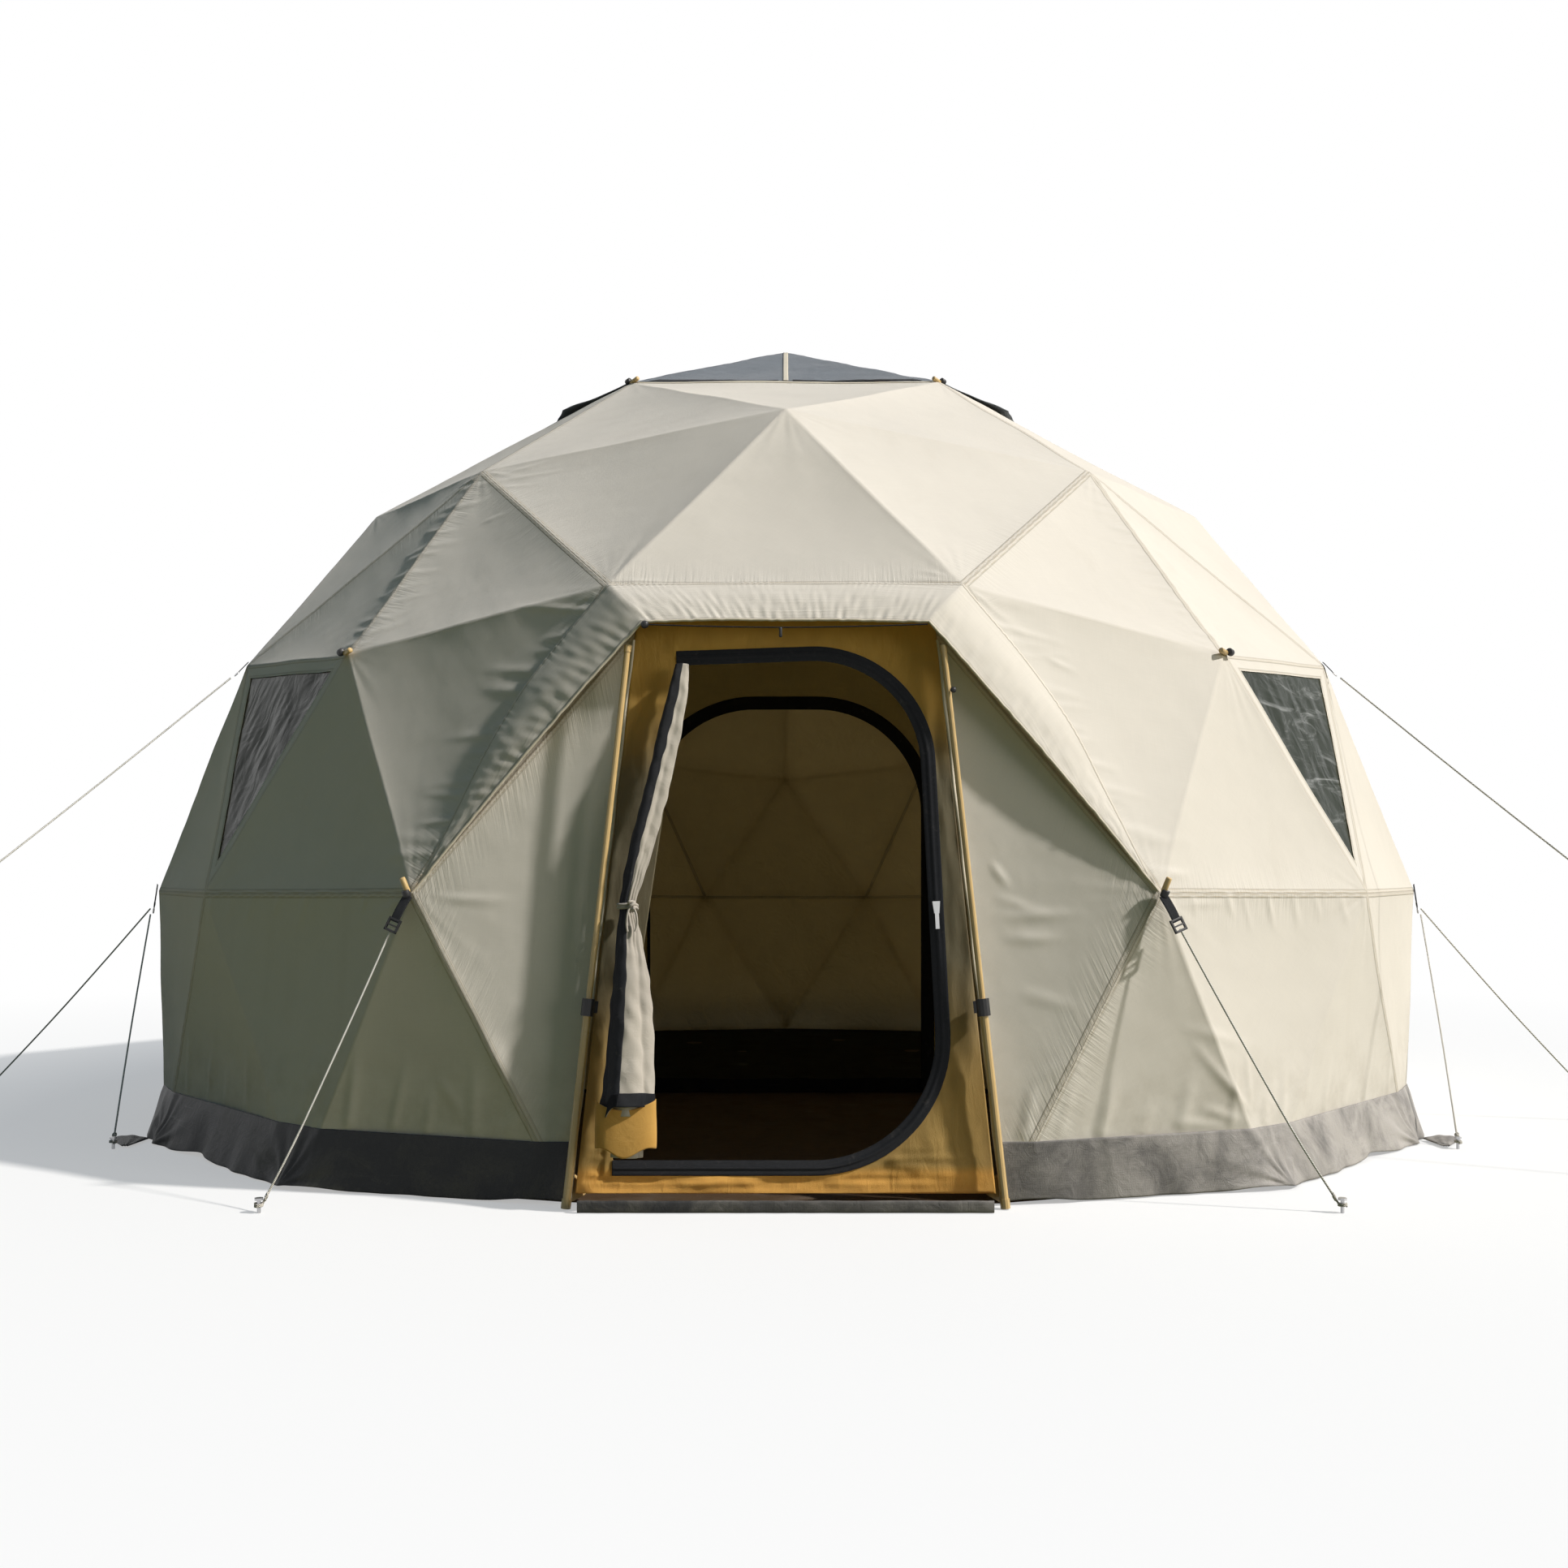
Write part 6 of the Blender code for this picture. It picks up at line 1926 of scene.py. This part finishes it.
def make_room_floor():
    """The inner room's floor, with its front lip raised; its near-black colour is partly painted shade deep
    inside the room.
    """
    outline = ground_outline(0.075, ROOM_FLOOR_FRONT)
    grid = floor_grid(outline, 0.0065, (0.0, 0.9), 40, 420)
    grid[:, :, 2] += 0.0012 * waves_on(grid, 0.30, 103)
    sheet = sheet_object("room_floor_cloth", grid[::-1], DARK_FLOOR, 0.0012,
                         nodes=["inner_room_floor"], closed=True)
    half = max(p[0] for p in outline if abs(p[1] - ROOM_FLOOR_FRONT) < 1e-6)
    x = np.linspace(-half, half, 260)
    line = np.stack([x, np.full_like(x, ROOM_FLOOR_FRONT), np.full_like(x, 0.006)], axis=1)
    top = line + np.array((0.0, -0.002, ROOM_LIP_HEIGHT - 0.004))
    grid = between(top, line, 10)
    grid[:, :, 1] += 0.004 * waves_on(grid, 0.25, 104)
    grid[:, :, 2] += 0.003 * waves_on(grid, 0.40, 105) * np.linspace(1, 0, 10)[:, None]
    lip = sheet_object("room_floor_lip", grid, DARK_FLOOR, 0.0016)


def make_front_hem():
    """The folded strip under the doorway, slightly padded and puckered by its stitching."""
    count = 260
    x = np.linspace(-FRONT_HALF_WIDTH, FRONT_HALF_WIDTH, count)
    section = []
    for angle in np.linspace(0, math.tau, 22, endpoint=False):
        c, s = math.cos(angle), math.sin(angle)
        section.append((FRONT_HEM_HALF[0] * math.copysign(abs(c) ** 0.7, c),
                        FRONT_HEM_HALF[1] * math.copysign(abs(s) ** 0.6, s)))
    grid = np.zeros((count, len(section), 3))
    for k, (deep, high) in enumerate(section):
        ripple = 0.0008 * np.sin(x * 55 + 3 * np.sin(x * 13)) * (1 if high > 0 else 0.4)
        grid[:, k] = np.stack([x, FRONT_HEM_MIDDLE[0] + deep + ripple,
                               FRONT_HEM_MIDDLE[1] + high + 0.3 * ripple], axis=1)
    hem = grid_object("front_hem_strip", grid, closed=True)
    dress(hem, SKIRT, nodes=["front_hem"])


make_liner()
make_room_wall()
make_room_zip()
make_room_roll()
make_groundsheet()
make_room_floor()
make_front_hem()


# Straps and buckles

def webbing(name, points, width, across):
    """A strip of webbing along a route, with its width along a given direction."""
    points = np.asarray(points, float)
    across = np.asarray(across, float) / np.linalg.norm(across)
    columns = np.linspace(-width / 2, width / 2, 7)
    grid = points[:, None, :] + columns[None, :, None] * across
    strip = sheet_object(name, grid, TAPE, 0.0016)
    return strip


BUCKLE_SIZE = (0.038, 0.034)


def buckle(name, place, along, across):
    """A ladder-lock buckle: a frame with two side bars and three cross bars."""
    width, length = BUCKLE_SIZE
    along, across = Vector(along).normalized(), Vector(across).normalized()
    out = along.cross(across).normalized()
    shape = bmesh.new()
    bars = [(-width / 2 + 0.003, 0.0, 0.006, length), (width / 2 - 0.003, 0.0, 0.006, length),
            (0.0, -length / 2 + 0.003, width, 0.005), (0.0, length / 2 - 0.003, width, 0.006),
            (0.0, 0.001, width, 0.004)]
    for x, y, wide, long in bars:
        made = bmesh.ops.create_cube(shape, size=1.0)["verts"]
        bmesh.ops.scale(shape, verts=made, vec=(wide, long, 0.005))
        bmesh.ops.translate(shape, verts=made, vec=(x, y, 0.0))
    turn = Matrix((across, along, out)).transposed().to_4x4()
    bmesh.ops.transform(shape, matrix=Matrix.Translation(Vector(place)) @ turn, verts=shape.verts[:])
    made = shape_object(name, shape)
    soft = made.modifiers.new("edges", "BEVEL")
    soft.width = 0.0012
    soft.segments = 3
    return dress(made, PLASTIC)


STRAP_START = (0.889, -1.981, 0.706)


def make_straps():
    for place, side in SIDES.items():
        start, end = mirrored(STRAP_START, side), mirrored(LINE_EXITS["front"], side)
        way = (end - start).normalized()
        facing = Vector((side * 0.45, -0.89, 0.0)).normalized()
        across = way.cross(facing).normalized()
        route = [start.lerp(end, t) + facing * 0.003 * math.sin(math.pi * t)
                 for t in np.linspace(-0.15, 0.8, 20)]
        strap = webbing(f"guy_strap_web_{place}", route, 0.025, across)
        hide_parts(f"guy_strap_{place}")
        buckle(f"guy_strap_buckle_{place}", start.lerp(end, 0.92) + facing * 0.001, way, across)


make_straps()


# Small fittings

def turned(name, place, way, profile, material, body="tent", sides=20):
    """A turned piece along a direction, from its (distance, radius) profile."""
    place, way = Vector(place), Vector(way).normalized()
    turn = way.to_track_quat("Z", "Y")
    rows = []
    for far, radius in profile:
        ring = [Vector((radius * math.cos(a), radius * math.sin(a), far))
                for a in np.linspace(0, math.tau, sides, endpoint=False)]
        rows.append([place + turn @ point for point in ring])
    return dress(grid_object(name, np.array(rows), closed=True), material, body)


def ball(radius, steps=9):
    return [(-radius * math.cos(a), radius * math.sin(a)) for a in np.linspace(0, math.pi, steps)]


TIP_PROFILE = ((0.0, 0.0), (0.0, 0.0060), (0.003, 0.0072), (0.034, 0.0072), (0.037, 0.0060), (0.037, 0.0))
CAP_PROFILE = ((0.0, 0.0), (0.0, 0.0078), (0.002, 0.0096), (0.016, 0.0096), (0.018, 0.0088), (0.018, 0.0))
TIPS = {"window": ("eave_post", (0, 4), 0.014), "vent": ("collar", (0, 4), 0.007)}


def make_pole_tips():
    """The tan pole ends in their black caps that show at the hubs in front."""
    for kind, (key, gores, proud) in TIPS.items():
        for (place, side), gore in zip(SIDES.items(), gores):
            normal = NORMALS[key, gore]
            along = Vector((0.0, 0.0, 1.0)).cross(normal).normalized() * side
            at = CORNERS[key, gore] + normal * proud
            lean = along - normal * 0.25
            turned(f"pole_tip_{kind}_{place}", at - along * 0.030, lean, TIP_PROFILE, POLE)
            turned(f"pole_cap_{kind}_{place}", at + along * 0.004, lean, CAP_PROFILE, PLASTIC)
    for place, side in SIDES.items():
        at = CORNERS["waist", 0, side] + NORMALS["waist", 0, side] * 0.014
        lean = (side * 0.30, -0.25, 0.90)
        turned(f"pole_tip_porch_{place}", at, lean, TIP_PROFILE, POLE)
        turned(f"pole_cap_porch_{place}", at - Vector((0.0, 0.0, 0.012)), lean, CAP_PROFILE, PLASTIC)


LINE_HUBS = {"high": ("eave", 1, -1), "side": ("waist_mid", 1), "ear": ("waist_mid", 1)}
RING_RADIUS = 0.0085


def make_side_straps():
    """Black webbing between the upper and side hubs and their lines, with a ring at each line."""
    for place, side in SIDES.items():
        for line, hub in LINE_HUBS.items():
            normal = mirrored(NORMALS[hub], side)
            start = mirrored(CORNERS[hub], side) + normal * 0.005
            end = mirrored(LINE_EXITS[line], side)
            way = (end - start).normalized()
            across = way.cross(Vector((normal.x, normal.y, 0.0))).normalized()
            route = lerped(start, end, np.linspace(-0.3, 0.85, 12))
            webbing(f"hub_strap_{line}_{place}", route, 0.018, across)
            ring = [end + RING_RADIUS * (way * math.cos(a) + across * math.sin(a))
                    for a in np.linspace(0, math.tau, 24, endpoint=False)]
            dress(tube(f"line_ring_{line}_{place}", ring, 0.0018, 8, closed=True), STEEL)


def make_line_knots():
    """Two turns of the line round its peg, and the knot that holds them."""
    for place, side in SIDES.items():
        for key in LINE_ROUTES:
            points = line_points(key, side)
            end, way = points[-1], (points[-1] - points[-3]).normalized()
            level = Vector((way.x, way.y, 0.0)).normalized()
            aside = Vector((-level.y, level.x, 0.0))
            loop = [end + level * (0.007 + RING_RADIUS * math.cos(a)) + aside * RING_RADIUS * math.sin(a)
                    + Vector((0.0, 0.0, 0.0035 * (a / math.tau - 1)))
                    for a in np.linspace(0, 2 * math.tau, 40)]
            dress(tube(f"line_turns_{key}_{place}", loop, 0.0022, 8), ROPE)
            middle = end - way * 0.020
            knot = [middle + way * 0.005 * math.sin(2 * a) + aside * 0.0045 * math.cos(3 * a)
                    + Vector((0.0, 0.0, 0.0045 * math.sin(3 * a)))
                    for a in np.linspace(0, math.tau, 40, endpoint=False)]
            dress(tube(f"line_knot_{key}_{place}", knot, 0.0020, 8, closed=True), ROPE)


KNOB = (-0.329, -1.986, 1.349)
CORD_END = (0.332, -1.984, 1.350)
CORD_SAG = 0.007
TOGGLE_PROFILE = ((0.0, 0.0), (0.0, 0.0025), (0.003, 0.0042), (0.010, 0.0034), (0.020, 0.0042),
                  (0.023, 0.0025), (0.023, 0.0))


def make_awning_fittings():
    """A ball knob at the awning's corner, and the thin drawcord under its edge with a toggle."""
    turned("awning_knob", KNOB, (0.0, -1.0, -0.2), ball(0.0095), PLASTIC)
    turned("door_edge_knob", (0.391, -1.990, 1.196), (0.0, -1.0, 0.0), ball(0.0075), PLASTIC)
    first, last = Vector(KNOB), Vector(CORD_END)
    route = [first.lerp(last, t) - Vector((0.0, 0.0, CORD_SAG * math.sin(math.pi * t)))
             for t in np.linspace(0, 1, 40)]
    dress(tube("awning_drawcord", route, 0.0016, 8), TAPE)
    turned("awning_toggle", first.lerp(last, 0.48) - Vector((0.0, 0.0, CORD_SAG)), (0.0, 0.0, -1.0),
           TOGGLE_PROFILE, PLASTIC)


def make_edge_piping():
    """The cream piping where the porch walls meet the door wall."""
    for place, side in SIDES.items():
        low, high = CORNERS["ground", 0, side], CORNERS["porch_top", 0, side]
        route = [low.lerp(high, t) + Vector((0.0, -0.004, 0.0)) for t in np.linspace(0.012, 0.985, 60)]
        route = [p + Vector((0.0012 * math.sin(41 * i / 59), 0.0, 0.0)) for i, p in enumerate(route)]
        dress(tube(f"porch_piping_{place}", route, 0.0042, 10), HEM)


def laid_on(surface, grid, lift):
    """The grid moved onto the nearest places of a shaped surface, and out of it by the lift."""
    mesh = surface.data
    tree = BVHTree.FromPolygons([v.co for v in mesh.vertices], [tuple(f.vertices) for f in mesh.polygons])
    moved = np.array(grid, float)
    for row in moved:
        for point in row:
            found, normal, _, _ = tree.find_nearest(Vector(point))
            point[:] = found + normal * lift
    return moved


def make_cap_details():
    """The black strip of painted shade in the slit along the cap's front edge, its pale tape, and the roof's
    pale hem under it.
    """
    cap = bpy.data.objects["vent_cap_mesh"]
    left, right, crown = CORNERS["collar", 4], CORNERS["collar", 0], CORNERS["crown",]
    # Painted shade: black strips laid on the cap where its slit is.
    for place, first, last in (("left", 0.05, 0.475), ("right", 0.525, 0.95)):
        edge = lerped(left, right, np.linspace(first, last, 60))
        low, high = ([p.lerp(crown, share) for p in edge] for share in (0.012, 0.075))
        grid = laid_on(cap, between(high, low, 8), 0.0014)
        slit = sheet_object(f"vent_cap_slit_shade_{place}", grid, TAPE, 0.0010)
    line = lerped(left.lerp(right, 0.5), crown, np.linspace(0.0, 0.97, 60))
    grid = np.array([[p + Vector((x, 0.0, 0.0)) for x in np.linspace(-0.009, 0.009, 5)] for p in line])
    tape = sheet_object("vent_cap_tape", laid_on(cap, grid, 0.0022), HEM, 0.0010)
    edge = lerped(left, right, np.linspace(0.01, 0.99, 160))
    high, low = ([p.lerp(CORNERS["roof_mid", 0], share) for p in edge] for share in (0.004, 0.024))
    hem = sheet_object("roof_top_hem", laid_on(flysheet, between(high, low, 6), 0.0014), HEM, 0.0012)


make_pole_tips()
make_side_straps()
make_line_knots()
make_awning_fittings()
make_edge_piping()
make_cap_details()
